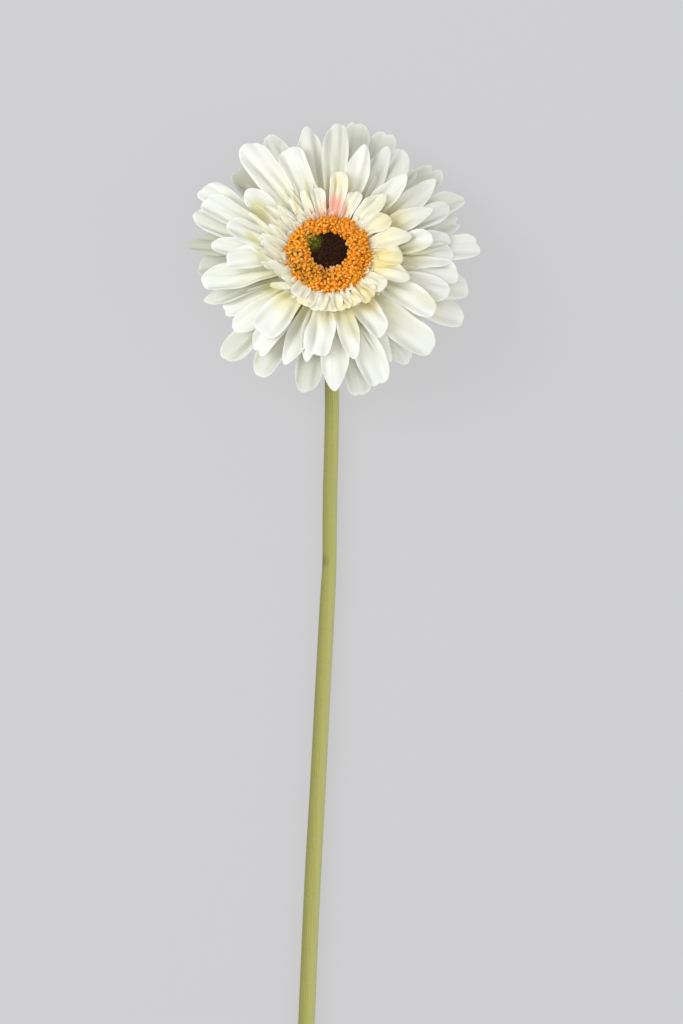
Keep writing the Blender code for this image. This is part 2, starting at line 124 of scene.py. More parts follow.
UPPER_PETALS = (
    (9, 39.8, 9, 33, "round"), (24, 43, 8.5, 27, "pointed", 0.14), (45, 42, 9.5, 23, "pointed"),
    (72, 43.5, 10, 19, "pointed"), (111.5, 43.4, 10, 18, "blunt"), (127.5, 52.6, 13, 15, "round"),
    (144, 39.7, 9, 25, "round"), (163, 40, 9.5, 28, "round"), (183, 39, 10, 33, "blunt"),
    (229, 39.5, 12.5, 43, "blunt"), (263, 38.6, 11, 46, "blunt"), (285, 41, 9, 46, "pointed"),
    (304, 37, 10.5, 45, "round"), (331, 46, 10.5, 41, "round"),
)
# Small broad petals of the innermost row, where it has them.
COLLAR_PETALS = (
    (14, 32, 8.5, 34.4, "pointed"), (31, 27, 7.5, 31.2, "round"), (48, 31, 8, 27.2, "pointed"),
    (66, 26, 6.5, 26.9, "round"), (83, 31, 7, 23.8, "round"), (101, 26, 5.5, 26.1, "round"),
    (233, 20.5, 7, 45.4, "notched"), (245, 22, 7.5, 46.3, "blunt"), (257, 22, 7.5, 47, "notched"),
    (270, 21.5, 9.5, 47, "blunt"), (285, 22, 7.5, 46.9, "notched"), (299, 22, 7, 46, "blunt"),
    (313, 23.5, 8, 45.1, "notched"), (328, 25, 8, 43.4, "round"), (343, 32, 9, 41.8, "pointed"),
    (358, 28, 8.5, 38.1, "round"),
)
# How each row grows: root radius and height in mm, degrees of rise at the root, above the bloom's
# own plane, and of droop at the tip, below the line from root to tip; then how far back it lies.
PETAL_ROWS = {
    "outer_petals": (OUTER_PETALS, 10.5, -1.6, 2, 15, 1.0),
    "middle_petals": (MIDDLE_PETALS, 10.5, -0.8, 10, 14, 0.65),
    "upper_petals": (UPPER_PETALS, 10.5, -0.1, 18, 10, 0.3),
    "collar_petals": (COLLAR_PETALS, 12.0, 1.0, 52, 34, 0.0),
}
PRESSED_SLOPE = math.radians(-7)  # of a tip that the surface bends flat, one given below it
PETAL_CLAW = 0.34  # width at the root, as a share of the full width
PETAL_WIDEST = 0.75  # share of the length
PETAL_CUP = (0.5, 0.16)  # hollow across, as a share of the half width: at the root, past the middle
PETAL_CUP_SPREAD = 0.14
PETAL_CUP_LEVEL = 0.35  # share of the hollow that lies below the petal's middle line
PETAL_ROLL = math.radians(7)
PETAL_LEAD = 0.36  # how far each end's direction leads the curve, as a share of the length
PETAL_GRID = (40, 28)  # rows and columns
PETAL_SWAY = 0.9 * MM  # of a petal's middle line to either side
PETAL_SWELL = 0.07  # of its sides in and out, as a share of the half width
PETAL_FLICK = 1.3 * MM  # of its tip up or down
PETAL_BUCKLE = 0.45 * MM  # up and down along it
PETAL_CRUMPLE = 0.26 * MM  # askew to it
# Painted shade on a petal that the table gives none
LEAST_PAINTED_SHADE = 0.04
# Kinds of tip, each as (length as a share of the petal's, power across, power along, notch).
TIPS = {
    "round": (0.22, 2.2, 2.0, 0.008),
    "blunt": (0.15, 3.2, 2.1, 0.014),
    "pointed": (0.34, 1.8, 1.4, 0.0),
    "notched": (0.17, 2.8, 2.0, 0.04),
}

# Inner petals: arcs of short strips round the disc, each as (count, kind of tip, then root height,
# length and width in mm, then, in degrees, the rise, the curl along the length, how far it sways at
# random, where the arc starts and what it spans).
INNER_WHORLS = {
    "inner_petals_long": (18, "blunt", (0.9, 17.0, 3.2), (44, -37, 9, 92, 136)),
    "inner_petals_mid": (21, "pointed", (1.2, 12.2, 3.2), (47, -40, 12, 86, 150)),
    "inner_petals_short": (23, "blunt", (1.6, 7.4, 3.2), (51, -44, 14, 80, 158)),
    "inner_petals_under": (44, "round", (0.5, 9.0, 4.0), (34, -30, 8, -145, 245)),
    "inner_petals_fringe": (54, "blunt", (2.4, 6.0, 2.6), (60, -36, 12, 0, 360)),
}
INNER_LONGER = 0.35  # how much longer the strips are at the middle of an arc, as a share
INNER_SWEEP = 1.0  # how far strips past the bearing below bend back to it, as a share of the turn
INNER_SWEPT_PAST = math.radians(140)
INNER_ROOT_RADIUS = 13.7 * MM
INNER_THICKNESS = 0.35 * MM
INNER_GRID = (16, 8)

# Disc: florets on the golden angle's spirals, between two radii, over a crown of
# height = top - fall * (radius - middle)^2, given as (top, middle radius, fall per metre squared).
GOLDEN_ANGLE = math.radians(137.508)
RING = ((9.2 * MM, 15.1 * MM), (6.5 * MM, 10.6 * MM, 105.0))
RIM = ((7.4 * MM, 9.4 * MM), (6.6 * MM, 9.6 * MM, 180.0))
HEART = ((0.0, 7.7 * MM), (5.9 * MM, 0.0, 12.0))
# How each kind of floret stands, as (places and crown, how far it leans out as a share of the crown's
# slope, size in mm, how far sizes differ as a share, seed).
FLORETS = {
    "open_florets": (RING, 1.0, 2.05, 0.35, 12),
    "anthers": (RING, 0.9, 1.75, 0.35, 7),
    "rim_florets": (RIM, 1.0, 1.25, 0.4, 11),
    "heart_buds": (HEART, 1.0, 1.02, 0.25, 10),
}
# The disc has grown lopsided: its heart lies off the middle, and its outside a little to the other side.
HEART_SHIFT = 1.6 * MM
SHIFT_FALL = 11.5  # how much less, per metre squared of radius
# Small shapes turned about Z, each as (profile of (radius, height), sides, swell and number of lobes,
# height where its glow starts, and the further height at which the glow is full). The glow lightens
# each one towards its top: painted highlight, and on the anthers also their real pollen yellow.
ANTHER = (
    ((0, -0.6), (0.16, -0.6), (0.15, 0.7), (0.24, 0.95), (0.22, 1.25), (0.1, 1.42), (0, 1.45)),
    6, 0.12, 3, 0.3, 0.9,
)
BUD = (
    ((0, -0.7), (0.42, -0.6), (0.52, 0.0), (0.45, 0.45), (0.3, 0.74), (0.14, 0.88), (0, 0.92)),
    15, 0.1, 5, 0.1, 0.8,
)

# Places on the bloom in its own frame, as (place, how far it spreads, both in mm, and its share).
# Warm yellow spots, partly the petals' own tint and partly painted shade in the gaps and under the collar
YELLOW_TINTS_AND_SHADE = (
    ((21, -4.5, 5), 9, 0.75), ((13, -18, 6), 8, 0.5), ((22, 9, 4), 9, 0.3), ((3.8, 28, 5), 7, 0.5),
    ((-10, -23, 5), 7, 0.5), ((6.5, -23.5, 5.5), 7, 0.5), ((28, -2, 6), 9, 0.25),
    ((-1.5, -24.5, 5), 6, 0.3), ((-18, -19, 4.5), 6.5, 0.35), ((17, -20, 5), 7, 0.35),
    ((24, 15, 5), 10, 0.4),
)
BLUSHES = (((2.4, 20, 5), 6.5, 1), ((-3.4, 15.5, 4.5), 6, 0.45), ((5.5, 15.5, 4.5), 5, 0.35))
OLIVE_SPOTS = (((-12.6, -2, 5.8), 5.5), ((-9.5, -8.5, 6), 7.5), ((-2, -9.5, 6.5), 5.5))
MOSSY_SPOT = ((-6.6, 4.6, 6), 5.2)
PALE_SPOT = ((0, -7.5, 6.5), 8)  # where the opening florets round the heart are palest
# Painted shade: olive patches laid where shade falls between and on the petals, each as (x, y from the
# disc's middle in mm, bearing in degrees, half its length, half its width, share).
PAINTED_SHADE_PATCHES = (
    (-26.3, 16.7, 125, 6.5, 4.2, 0.8), (-28.8, 6.1, 138, 5, 1.7, 0.85), (-25.4, -0.8, 135, 4.6, 1.3, 0.8),
    (-21.6, -12.9, 150, 6.5, 3.2, 0.8), (-12.5, 19.3, 100, 6.5, 1.1, 0.7), (-8, 24, 98, 5, 1.1, 0.6),
    (-18.6, 8, 130, 3.2, 0.8, 0.7), (-15.9, -16.3, 153, 5.8, 1.3, 0.7), (-10.6, -22, 95, 4.2, 1.3, 0.7),
    (8.7, -27.3, 110, 6.5, 5, 0.45), (33, 1, 5, 9, 5, 0.4), (38, -18, 150, 7, 4, 0.35),
    (2, -24, 0, 3, 1.6, 0.6),
)

# Turned parts of the bloom, as (radius, height) in mm in its own frame.
RECEPTACLE_PROFILE = ((0, -2.6), (12.4, -2.6), (14.2, -1), (14.2, 0.6), (12.6, 1.4), (0, 1.4))
CUSHION_PROFILE = (
    (0, 1.5), (13.2, 1.5), (15.1, 3.4), (15.2, 4.3), (13.9, 5.7), (11.9, 6.7), (10.2, 6.9), (9, 6.5),
    (8.3, 5.6), (6, 5.6), (3, 5.9), (0, 6),
)
# The pale rim of the receptacle, which wraps the side of the cushion under the inner petals.
SKIRT_PROFILE = ((0, 1.2), (12.6, 1.2), (14.9, 2.6), (15.7, 3.8), (15.4, 4.4), (14.4, 4.8), (0, 4.8))
# Involucre: the green cup under the bloom, with rows of pointed bracts.
CUP_PROFILE = (
    (0, -16.6), (3.1, -16.6), (4.3, -15.6), (8.2, -12.6), (11.2, -8.2), (12.4, -4.2), (12.2, -2.9),
    (0, -2.9),
)
# Rows of bracts, each as (count, foot height, tip height, width in mm, turn as a share of one step).
BRACT_ROWS = {
    "bracts_low": (11, -15.8, -10.6, 3.4, 0.3),
    "bracts_mid": (13, -13.4, -6.4, 4.0, 0.0),
    "bracts_high": (13, -10.2, -3.3, 3.8, 0.5),
}
BRACT_LIFT = (0.35 * MM, 1.15 * MM)  # of the ridge over the cup, at the foot and at the tip
BRACT_RIDGE = 0.12 * MM
BRACT_THICKNESS = 0.5 * MM
BRACT_GRID = (14, 10)

# Stem: (x, y, underside above the surface, radius) in mm, x and y from the disc's middle.
STEM_ROUTE = (
    (0.6, -26, 1, 2.7), (1.1, -52, 0.7, 2.68), (0.9, -71, 0.5, 2.7), (0.4, -89, 0.4, 2.72),
    (0.2, -107, 0.3, 2.68), (0.1, -117.5, 0.3, 2.62), (-0.6, -131, 0.1, 2.85), (-2.5, -167, 0, 2.92),
    (-4.4, -204, 0, 2.98), (-6.4, -240, 0, 3.05), (-8.5, -289, 0, 3.1), (-10.6, -340, 0, 3.15),
    (-12.4, -395, 0, 3.2), (-13.6, -448, 0, 3.3),
)
STEM_SETTLE = 0.966  # height of the stem's middle as a share of its radius: it lies on a flat side
STEM_SIDES = 88
STEM_SPACING = 1.6 * MM  # between its rings of vertices
STEM_PAINTED_SHEEN = (0.53, 0.55, 0.33)  # a painted sheen on its side to the light
NECK_RADIUS = 2.75 * MM
NECK_STEPS = 7
NECK_REACH = 7.5 * MM
NECK_GAP = 0.3 * MM
DENT_SHADE_SPOT = ((-3.2, -116.0, 3.5), 4.5)  # painted shade in a small dent beside the slight bend: its place from the disc's middle, and its spread
CUT_SLANT = 0.5  # the florist's cut, as its rise over the stem's width
CUT_LEVEL = 3.3 * MM  # height above the surface at which the cut stays in place
# The wet face of the cut, as (radius as a share of the stem's, height in mm over the stem's end).
CUT_PROFILE = (
    (0, -0.6), (0.86, -0.6), (0.93, -0.1), (0.92, 0.09), (0.84, 0.16), (0.74, 0.11), (0.62, 0.17),
    (0.42, 0.14), (0.3, 0.07), (0.2, 0.03), (0.1, 0.03), (0, 0.03),
)

# Square lights, each as (side, place) in metres. The stage's settings hold their power.
LIGHTS = {
    "left": (1.2, (-1.3, 0.5, 1.2)),
    "right": (1.0, (1.4, -0.3, 0.9)),
    "above": (1.6, (-0.2, 0.1, 2.4)),
}
FLOOR_HALF = 8.0  # metres
VIEW_AIM = (4.7 * MM, -97.4 * MM)  # middle of the view from the disc's middle


def length(name, description, default):
    """A size in metres, with its default in millimetres."""
    return FloatProperty(
        name=name, description=description, default=default * MM, min=0, precision=5, unit="LENGTH"
    )


def hue(name, description, default):
    return FloatVectorProperty(
        name=name, description=description, default=default, min=0, max=1, subtype="COLOR"
    )


def amount(name, description, default):
    return FloatProperty(name=name, description=description, default=default, min=0)


def tally(name, description, default):
    return IntProperty(name=name, description=description, default=default, min=1)


class PetalSettings(bpy.types.PropertyGroup):
    thickness: length("Thickness", "Of a ray petal along its middle", 0.5)
    groove: length("Groove depth", "Of the folds along a ray petal", 1.15)
    rim: length("Rim", "How far a ray petal's edges turn up", 0.75)
    ripple: length("Edge ripple", "How far a petal's edges wave", 0.6)
    seed: tally("Seed", "Of every random draw for the petals", 41)
    body: hue("Petal", "The petal's own creamy white", (0.915, 0.91, 0.74))
    tip: hue("Tip", "The cooler white towards a petal's tip", (0.90, 0.925, 0.87))
    # Painted highlight: the bright rim laid along a petal's sides and tip
    light: hue("Edge", "The bright rim of a petal", (0.965, 0.965, 0.92))
    # Partly the petal's own yellow base and partly painted shade in the gaps between petals
    root: hue("Root", "The olive yellow at a petal's root", (0.85, 0.81, 0.44))
    # Painted shade: the grey laid in the folds and on the petals at the back and some at the top
    shade: hue("Painted shade", "The grey of folds and of petals at the back", (0.47, 0.475, 0.38))
    # Painted shade: the olive laid in the deep places between petals
    hollow: hue("Hollow", "The olive of the deep places between petals", (0.72, 0.68, 0.35))
    cream: hue("Cream", "The petals round the disc", (0.95, 0.92, 0.70))
    # Partly the yellow base of the petals round the disc and partly painted light in the bright gaps
    # between them
    yolk: hue("Yolk", "The yellow at the root of the petals round the disc", (0.92, 0.83, 0.42))
    # Partly the petals' own warm yellow and partly painted shade in the gaps and under the collar
    yellow_tint_and_shade: hue("Yellow and shade", "The warm yellow to the right of the disc", (0.90, 0.74, 0.24))
    blush: hue("Blush", "The pink on the petals above the disc", (0.98, 0.45, 0.34))


class DiscSettings(bpy.types.PropertyGroup):
    open_count: tally("Open florets", "In the ring", 150)
    rim_count: tally("Rim florets", "Just opening, round the heart", 64)
    heart_count: tally("Buds", "Closed, in the heart", 300)
    orange: hue("Orange", "An open floret's lobes", (1.0, 0.41, 0.015))
    # Partly the floret's own colour and partly painted shade, left in each throat
    ember: hue("Ember", "The deeper colour in an open floret's throat", (0.93, 0.27, 0.006))
    # Partly real pollen and partly painted highlight on the lobe tips
    pollen: hue("Pollen", "The yellow on anthers and lobe tips", (1.0, 0.60, 0.13))
    dark: hue("Dark", "The closed buds of the heart", (0.027, 0.0095, 0.004))
    moss: hue("Moss", "The green on one side of the heart", (0.17, 0.20, 0.012))
    olive: hue("Olive", "The brown olive of the ring's faded florets", (0.23, 0.16, 0.012))


class StemSettings(bpy.types.PropertyGroup):
    ribs: tally("Ribs", "Fine ridges round the stem", 22)
    rib_height: length("Rib height", "Of a ridge over the stem", 0.05)
    hair: length("Hair", "Length of a hair on the stem and the cup", 0.55)
    hair_density: amount("Hairs", "On each square metre of stem", 2.6e5)
    green: hue("Green", "The stem's yellow green", (0.428, 0.42, 0.102))
    deep: hue("Deep green", "The cup's green", (0.20, 0.27, 0.07))
    pith: hue("Pith", "The pale middle of the cut", (0.68, 0.70, 0.42))


class StageSettings(bpy.types.PropertyGroup):
    floor: hue("Floor", "The plain surface that the flower lies on", (0.13, 0.13, 0.133))
    glow: amount("Glow", "How far the floor lights itself", 0.484)
    sky: amount("Sky", "Strength of the even light", 0.62)
    left: amount("Left", "Power of the light on the left in watts", 16.2)
    right: amount("Right", "Power of the light on the right in watts", 5)
    above: amount("Above", "Power of the light above in watts", 6.5)
    view_height: length("View height", "What the camera takes in, at half the bloom's height", 388)
    distance: length("Distance", "From the camera to the surface", 6000)


class GerberaSettings(bpy.types.PropertyGroup):
    petals: PointerProperty(type=PetalSettings)
    disc: PointerProperty(type=DiscSettings)
    stem: PointerProperty(type=StemSettings)
    stage: PointerProperty(type=StageSettings)


def maths(operation):
    """A method that adds a Math node to the tree of the wire that it is called on."""
    return lambda self, *others: self.sheet.math(operation, self, *others)


class Wire:
    """A node's output. Arithmetic on it adds the Math nodes to its tree."""

    def __init__(self, sheet, socket):
        self.sheet, self.socket = sheet, socket

    __add__ = __radd__ = maths("ADD")
    __mul__ = __rmul__ = maths("MULTIPLY")
    __sub__ = maths("SUBTRACT")
    __truediv__ = maths("DIVIDE")
    __pow__ = maths("POWER")
    sin = maths("SINE")
    cos = maths("COSINE")
    least = maths("MAXIMUM")
    most = maths("MINIMUM")

    def __rsub__(self, other):
        return self.sheet.math("SUBTRACT", other, self)

    def step(self, low, high):
        """0 below low, 1 above high, and smooth between."""
        ends = {"Value": self, "From Min": low, "From Max": high}
        return self.sheet.node("ShaderNodeMapRange", ends, interpolation_type="SMOOTHSTEP")


class Sheet:
    """A node tree written as Python expressions."""

    def __init__(self, tree):
        self.tree = tree

    def node(self, kind, inputs=None, out=0, **settings):
        """Adds a node with its settings and its inputs' values or wires. Returns the outputs in out."""
        made = self.tree.nodes.new(kind)
        for name, value in settings.items():
            setattr(made, name, value)
        for key, value in (inputs or {}).items():
            if isinstance(value, Wire):
                self.tree.links.new(value.socket, made.inputs[key])
            else:
                made.inputs[key].default_value = value
        if isinstance(out, tuple):
            return tuple(Wire(self, made.outputs[name]) for name in out)
        return Wire(self, made.outputs[out])

    def math(self, operation, *values):
        return self.node("ShaderNodeMath", dict(enumerate(values)), operation=operation)

    def vector(self, x, y, z):
        return self.node("ShaderNodeCombineXYZ", {0: x, 1: y, 2: z})

    def split(self, vector):
        return self.node("ShaderNodeSeparateXYZ", {0: vector}, out=("X", "Y", "Z"))

    def read(self, names):
        """The named numbers that the mesh carries, for names parted by spaces."""
        return [self.kept(name) for name in names.split()]


class Finish(Sheet):
    """A material round one Principled shader, whose colour is laid on coat over coat."""

    def __init__(self, name, ground, **constants):
        self.material = bpy.data.materials.new(name)
        self.material.use_nodes = True
        super().__init__(self.material.node_tree)
        self.shader = self.tree.nodes["Principled BSDF"]
        for socket, value in constants.items():
            self.shader.inputs[socket.replace("_", " ")].default_value = value
        self.place = self.node("ShaderNodeTexCoord", out="Object")
        self.colour = ground

    def kept(self, name):
        return self.node("ShaderNodeAttribute", out="Fac", attribute_name=name)

    def mix(self, first, second, share, blend="MIX"):
        first, second = (each if isinstance(each, Wire) else (*each, 1) for each in (first, second))
        inputs = {0: share, 6: first, 7: second}
        return self.node("ShaderNodeMix", inputs, out=2, data_type="RGBA", blend_type=blend)

    def coat(self, colour, share):
        """Covers a share of the colour so far."""
        self.colour = self.mix(self.colour, colour, share)

    def brighten(self, factor):
        """Makes the colour so far lighter or darker."""
        self.colour = self.mix(self.colour, self.vector(factor, factor, factor), 1.0, "MULTIPLY")

    def noise(self, vector, scale, detail=2.0):
        return self.node("ShaderNodeTexNoise", {"Vector": vector, "Scale": scale, "Detail": detail})

    def near(self, spot, reach, frame=HEAD_FRAME):
        """1 at a spot of the bloom, or of another frame, and 0 past its reach, both in mm."""
        ends = {0: self.place, 1: tuple(frame @ (Vector(spot) * MM))}
        gap = self.node("ShaderNodeVectorMath", ends, out="Value", operation="DISTANCE")
        return 1 - gap.step(reach * MM * 0.25, reach * MM)

    def patch(self, x, y, bearing, long, wide):
        """1 in the middle of a long patch seen from above, and 0 past its edges, in mm and degrees."""
        turned = self.node(
            "ShaderNodeMapping",
            {"Vector": self.place, "Location": BED @ (Vector((x, y, 0)) * MM),
             "Rotation": (0, 0, math.radians(bearing)), "Scale": (long * MM, wide * MM, 1)},
            vector_type="TEXTURE",
        )
        x, y, _ = self.split(turned)
        return 1 - (x * x + y * y).step(0.0, 1.0)

    def wear(self, roughness, height, strength, depth):
        """Joins the colour, the roughness, where it changes, and bumps of a depth in mm to the shader."""
        bump = {"Height": height, "Strength": strength, "Distance": depth * MM}
        normal = self.node("ShaderNodeBump", bump)
        for socket, wire in (("Base Color", self.colour), ("Roughness", roughness), ("Normal", normal)):
            if wire:
                self.tree.links.new(wire.socket, self.shader.inputs[socket])
        return self.material


class Rule(Sheet):
    """A Geometry Nodes tree with named inputs, which ends in Realize Instances and Set Material."""

    def __init__(self, name, counts, sizes=""):
        """Makes an input of each word in counts, which are whole numbers, and in sizes."""
        super().__init__(bpy.data.node_groups.new(name, "GeometryNodeTree"))
        sockets = self.tree.interface.new_socket
        sockets("Geometry", in_out="OUTPUT", socket_type="NodeSocketGeometry")
        kinds = (("Geometry", "Geometry"), ("Int", counts), ("Float", sizes), ("Material", "Material"))
        for kind, labels in kinds:
            for label in labels.split():
                sockets(label.replace("_", " "), in_out="INPUT", socket_type=f"NodeSocket{kind}")
        self.entry = self.tree.nodes.new("NodeGroupInput")

    def __getitem__(self, label):
        return Wire(self, self.entry.outputs[label])

    def geo(self, kind, inputs=None, out=0, **settings):
        return self.node("GeometryNode" + kind, inputs, out, **settings)

    def random(self, low, high, salt):
        """A random number for each point, from the tree's seed."""
        inputs = {2: low, 3: high, "Seed": self["Seed"] + salt}
        return self.node("FunctionNodeRandomValue", inputs, out=1, data_type="FLOAT")

    def spin(self, angle, axis=(0.0, 0.0, 1.0)):
        return self.node("FunctionNodeAxisAngleToRotation", {"Axis": axis, "Angle": angle})

    def turned(self, rotation, local):
        """A rotation after another one in its own frame."""
        inputs = {"Rotation": rotation, "Rotate By": local}
        return self.node("FunctionNodeRotateRotation", inputs, rotation_space="LOCAL")

    def copies(self, points, shape, **inputs):
        return self.geo("InstanceOnPoints", {"Points": points, "Instance": shape, **inputs})

    def moved(self, geometry, **inputs):
        return self.geo("SetPosition", {"Geometry": geometry, **inputs})

    def keep(self, geometry, name, value, domain="POINT"):
        """Stores a named number on the geometry."""
        inputs = {"Geometry": geometry, "Name": name, "Value": value}
        return self.geo("StoreNamedAttribute", inputs, data_type="FLOAT", domain=domain)

    def kept(self, name):
        return self.geo("InputNamedAttribute", {"Name": name}, data_type="FLOAT")

    def close(self, geometry):
        realized = self.geo("RealizeInstances", {0: geometry})
        dressed = self.geo("SetMaterial", {"Geometry": realized, "Material": self["Material"]})
        self.node("NodeGroupOutput", {0: dressed}, out=())
        return self.tree


def linked(name, data):
    """A new object of the scene."""
    made = bpy.data.objects.new(name, data)
    bpy.context.scene.collection.objects.link(made)
    return made


def new_object(name, points, faces=(), edges=(), finish=None, **numbers):
    """A smooth mesh object, with any named numbers that its vertices carry."""
    mesh = bpy.data.meshes.new(name)
    mesh.from_pydata(np.asarray(points, float).tolist(), list(edges), [tuple(face) for face in faces])
    for label, values in numbers.items():
        layer = mesh.attributes.new(label, "FLOAT", "POINT")
        layer.data.foreach_set("value", np.asarray(values, np.float32))
    if len(faces):
        mesh.shade_smooth()
    if finish:
        mesh.materials.append(finish)
    return linked(name, mesh)


def grow(obj, tree, place=None, **values):
    """Runs a Geometry Nodes tree on an object and keeps the result as its plain mesh."""
    modifier = obj.modifiers.new(tree.name, "NODES")
    modifier.node_group = tree
    named = {item.name: item.identifier for item in tree.interface.items_tree if item.in_out == "INPUT"}
    for label, value in values.items():
        modifier[named[label.replace("_", " ")]] = value
    bpy.context.view_layer.update()
    depsgraph = bpy.context.evaluated_depsgraph_get()
    mesh = bpy.data.meshes.new_from_object(
        obj.evaluated_get(depsgraph), preserve_all_data_layers=True, depsgraph=depsgraph
    )
    obj.modifiers.remove(modifier)
    bare = obj.data
    obj.data = mesh
    bpy.data.meshes.remove(bare)
    mesh.name = obj.name
    if place:
        mesh.transform(place)
    mesh.shade_smooth()
    return obj


def settle(obj, node):
    """Puts a finished piece on the frame in place of its node."""
    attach(obj, "root")
    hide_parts(node)


def smooth(values, low, high):
    share = np.clip((values - low) / (high - low), 0, 1)
    return share * share * (3 - 2 * share)


def radial(angle):
    return Vector((math.cos(angle), math.sin(angle), 0))


def rising(level, angle):
    """A level direction turned up by an angle."""
    return level * math.cos(angle) + Vector((0, 0, math.sin(angle)))


def unit(vectors):
    return vectors / np.linalg.norm(vectors, axis=1)[:, None]


def scaled(colour, share):
    return tuple(part * share for part in colour)


class Blade:
    """The vertices and faces of one thin closed blade, whose two faces share its rim."""

    def __init__(self, rows, columns):
        even = np.linspace(-1, 1, columns + 1)
        across = 0.15 * even + 0.85 * np.sin(even * math.pi / 2)
        along = 1 - (1 - np.linspace(0, 1, rows + 1)) ** 1.5
        along, across = (grid.ravel() for grid in np.meshgrid(along, across, indexing="ij"))
        top = np.arange(along.size).reshape(rows + 1, columns + 1)
        under = top.copy()
        inner = top[1:-1, 1:-1]
        under[1:-1, 1:-1] = top.size + np.arange(inner.size).reshape(inner.shape)
        self.along = np.concatenate((along, along[inner.ravel()]))
        self.across = np.concatenate((across, across[inner.ravel()]))
        self.side = np.zeros(len(self.along))
        self.side[inner.ravel()] = 1
        self.side[top.size :] = -1
        faces = [
            np.stack((layer[:-1, :-1], layer[:-1, 1:], layer[1:, 1:], layer[1:, :-1]), -1).reshape(-1, 4)
            for layer in (top, under)
        ]
        self.faces = np.concatenate((faces[0], faces[1][:, [0, 3, 2, 1]]))

    def fullness(self):
        """Thickness over the blade as a share, thinning towards its edges and ends."""
        return np.sqrt((1 - np.abs(self.across) ** 8) * (1 - np.abs(2 * self.along - 1) ** 32))

    def rim(self):
        """1 along the blade's sides and tip, and 0 inside them."""
        return np.maximum(smooth(np.abs(self.across), 0.72, 0.97), smooth(self.along, 0.95, 1.0))


def bezier(points, share):
    """Places and unit tangents along a cubic curve, for an array of shares."""
    a, b, c, d = (np.array(point) for point in points)
    share = share[:, None]
    rest = 1 - share
    place = a * rest**3 + b * 3 * share * rest**2 + c * 3 * share**2 * rest + d * share**3
    return place, unit((b - a) * rest**2 + (c - b) * 2 * share * rest + (d - c) * share**2)


def petal_route(petal, row):
    """The curve of a ray petal's middle line, from its root in the receptacle to its tip."""
    direction, reach, _, tip_height, *_ = petal
    _, root_radius, root_height, rise, droop, _ = row
    heading = math.radians(direction)
    tip = DISC_MIDDLE + radial(heading) * reach * MM
    tip.z = tip_height * MM
    around = math.atan2(math.sin(heading) / math.cos(HEAD_LEAN), math.cos(heading))
    root = HEAD_FRAME @ (radial(around) * root_radius * MM + Vector((0, 0, root_height * MM)))
    out = HEAD_FRAME.to_3x3() @ rising(radial(around), math.radians(rise))
    chord = tip - root
    flat = Vector((chord.x, chord.y, 0))
    slope = math.atan2(chord.z, flat.length) - math.radians(droop)
    end = rising(flat.normalized(), PRESSED_SLOPE if tip_height < 0 else slope)
    lead = chord.length * PETAL_LEAD
    return root, root + out * lead, tip - end * lead, tip


def tip_share(kind, across, skew=0.0, nick=0.0):
    """Where each line along a petal ends, as a share of its length."""
    span, broad, high, notch = TIPS[kind]
    arch = (1 - np.abs(across + skew * (1 - across**2)) ** broad) ** (1 / high)
    return 1 - span * (1 - arch) - notch * np.exp(-(((across - nick) / 0.18) ** 2))


def folds(across, share, chance):
    """How deep in a fold each point of a petal lies, from 0 on a ridge to 1."""
    count = chance.uniform(1.7, 2.7)
    phase = chance.uniform(-0.7, 0.7) + 0.5 * np.sin(share * chance.uniform(2, 5) + chance.uniform(0, 6))
    wave = (1 - np.cos(math.pi * count * across + phase)) / 2
    uneven = 0.75 + 0.25 * np.sin(across * 5 + chance.uniform(0, 6))
    uneven *= 0.62 + 0.38 * np.sin(share * chance.uniform(4, 9) + across * 2.5 + chance.uniform(0, 6))
    return wave**2 * uneven * smooth(share, 0.02, 0.25) * (1 - 0.45 * smooth(share, 0.75, 1))


def ray_petal(blade, petal, row, look, cup, roll, chance):
    """Vertices of one ray petal, with their shares along it and how deep in its folds they lie."""
    _, _, width, _, kind, *_ = petal
    width *= MM
    across = blade.across
    share = blade.along * tip_share(kind, across, chance.uniform(-0.22, 0.22), chance.uniform(-0.35, 0.35))

    def wave(low, high):
        return np.sin(share * chance.uniform(low, high) + chance.uniform(0, 6))

    place, tangent = bezier(petal_route(petal, row), share)
    side = unit(np.cross(tangent, np.array(HEAD_AXIS)))
    turn = (roll * share)[:, None]
    side = side * np.cos(turn) - np.cross(side, tangent) * np.sin(turn)
    up = np.cross(side, tangent)
    half = width / 2 * (PETAL_CLAW + (1 - PETAL_CLAW) * smooth(share, 0, PETAL_WIDEST))
    body = smooth(share, 0.15, 0.5)
    halves = [np.clip(across * edge, 0, 1) for edge in (-1, 1)]
    for outward in halves:
        half *= 1 + PETAL_SWELL * wave(7, 13) * outward * body
    hollow = PETAL_CUP[0] + (cup - PETAL_CUP[0]) * np.minimum(share / 0.6, 1)
    lift = hollow * (across**2 - PETAL_CUP_LEVEL) * half
    fold = folds(across, share, chance)
    size = min(1.0, width / (10 * MM))
    lift -= (fold - 0.25) * look.groove * size * chance.uniform(0.8, 1.9)
    for outward in halves:
        lift += look.rim * size * chance.uniform(-0.3, 1.3) * (outward**5 * body)
        lift += look.ripple * size * wave(8, 17) * outward**3 * body
    lift += chance.uniform(-1, 1) * PETAL_FLICK * size * smooth(share, 0.72, 1) ** 2
    lift += PETAL_BUCKLE * size * wave(5, 10) * body
    crumple = np.sin(across * chance.uniform(2, 5) + share * chance.uniform(9, 16) + chance.uniform(0, 6))
    lift += PETAL_CRUMPLE * size * crumple * body
    sway = chance.uniform(-1, 1) * PETAL_SWAY * size * np.sin(math.pi * share)
    normal = unit(up - side * (2 * hollow * across)[:, None])
    thick = look.thickness / 2 * blade.fullness() * blade.side
    points = place + side * (across * half + sway)[:, None] + up * lift[:, None] + normal * thick[:, None]
    points[:, 2] = np.maximum(points[:, 2], look.thickness * (1 + blade.side) / 2)
    return points, share, fold


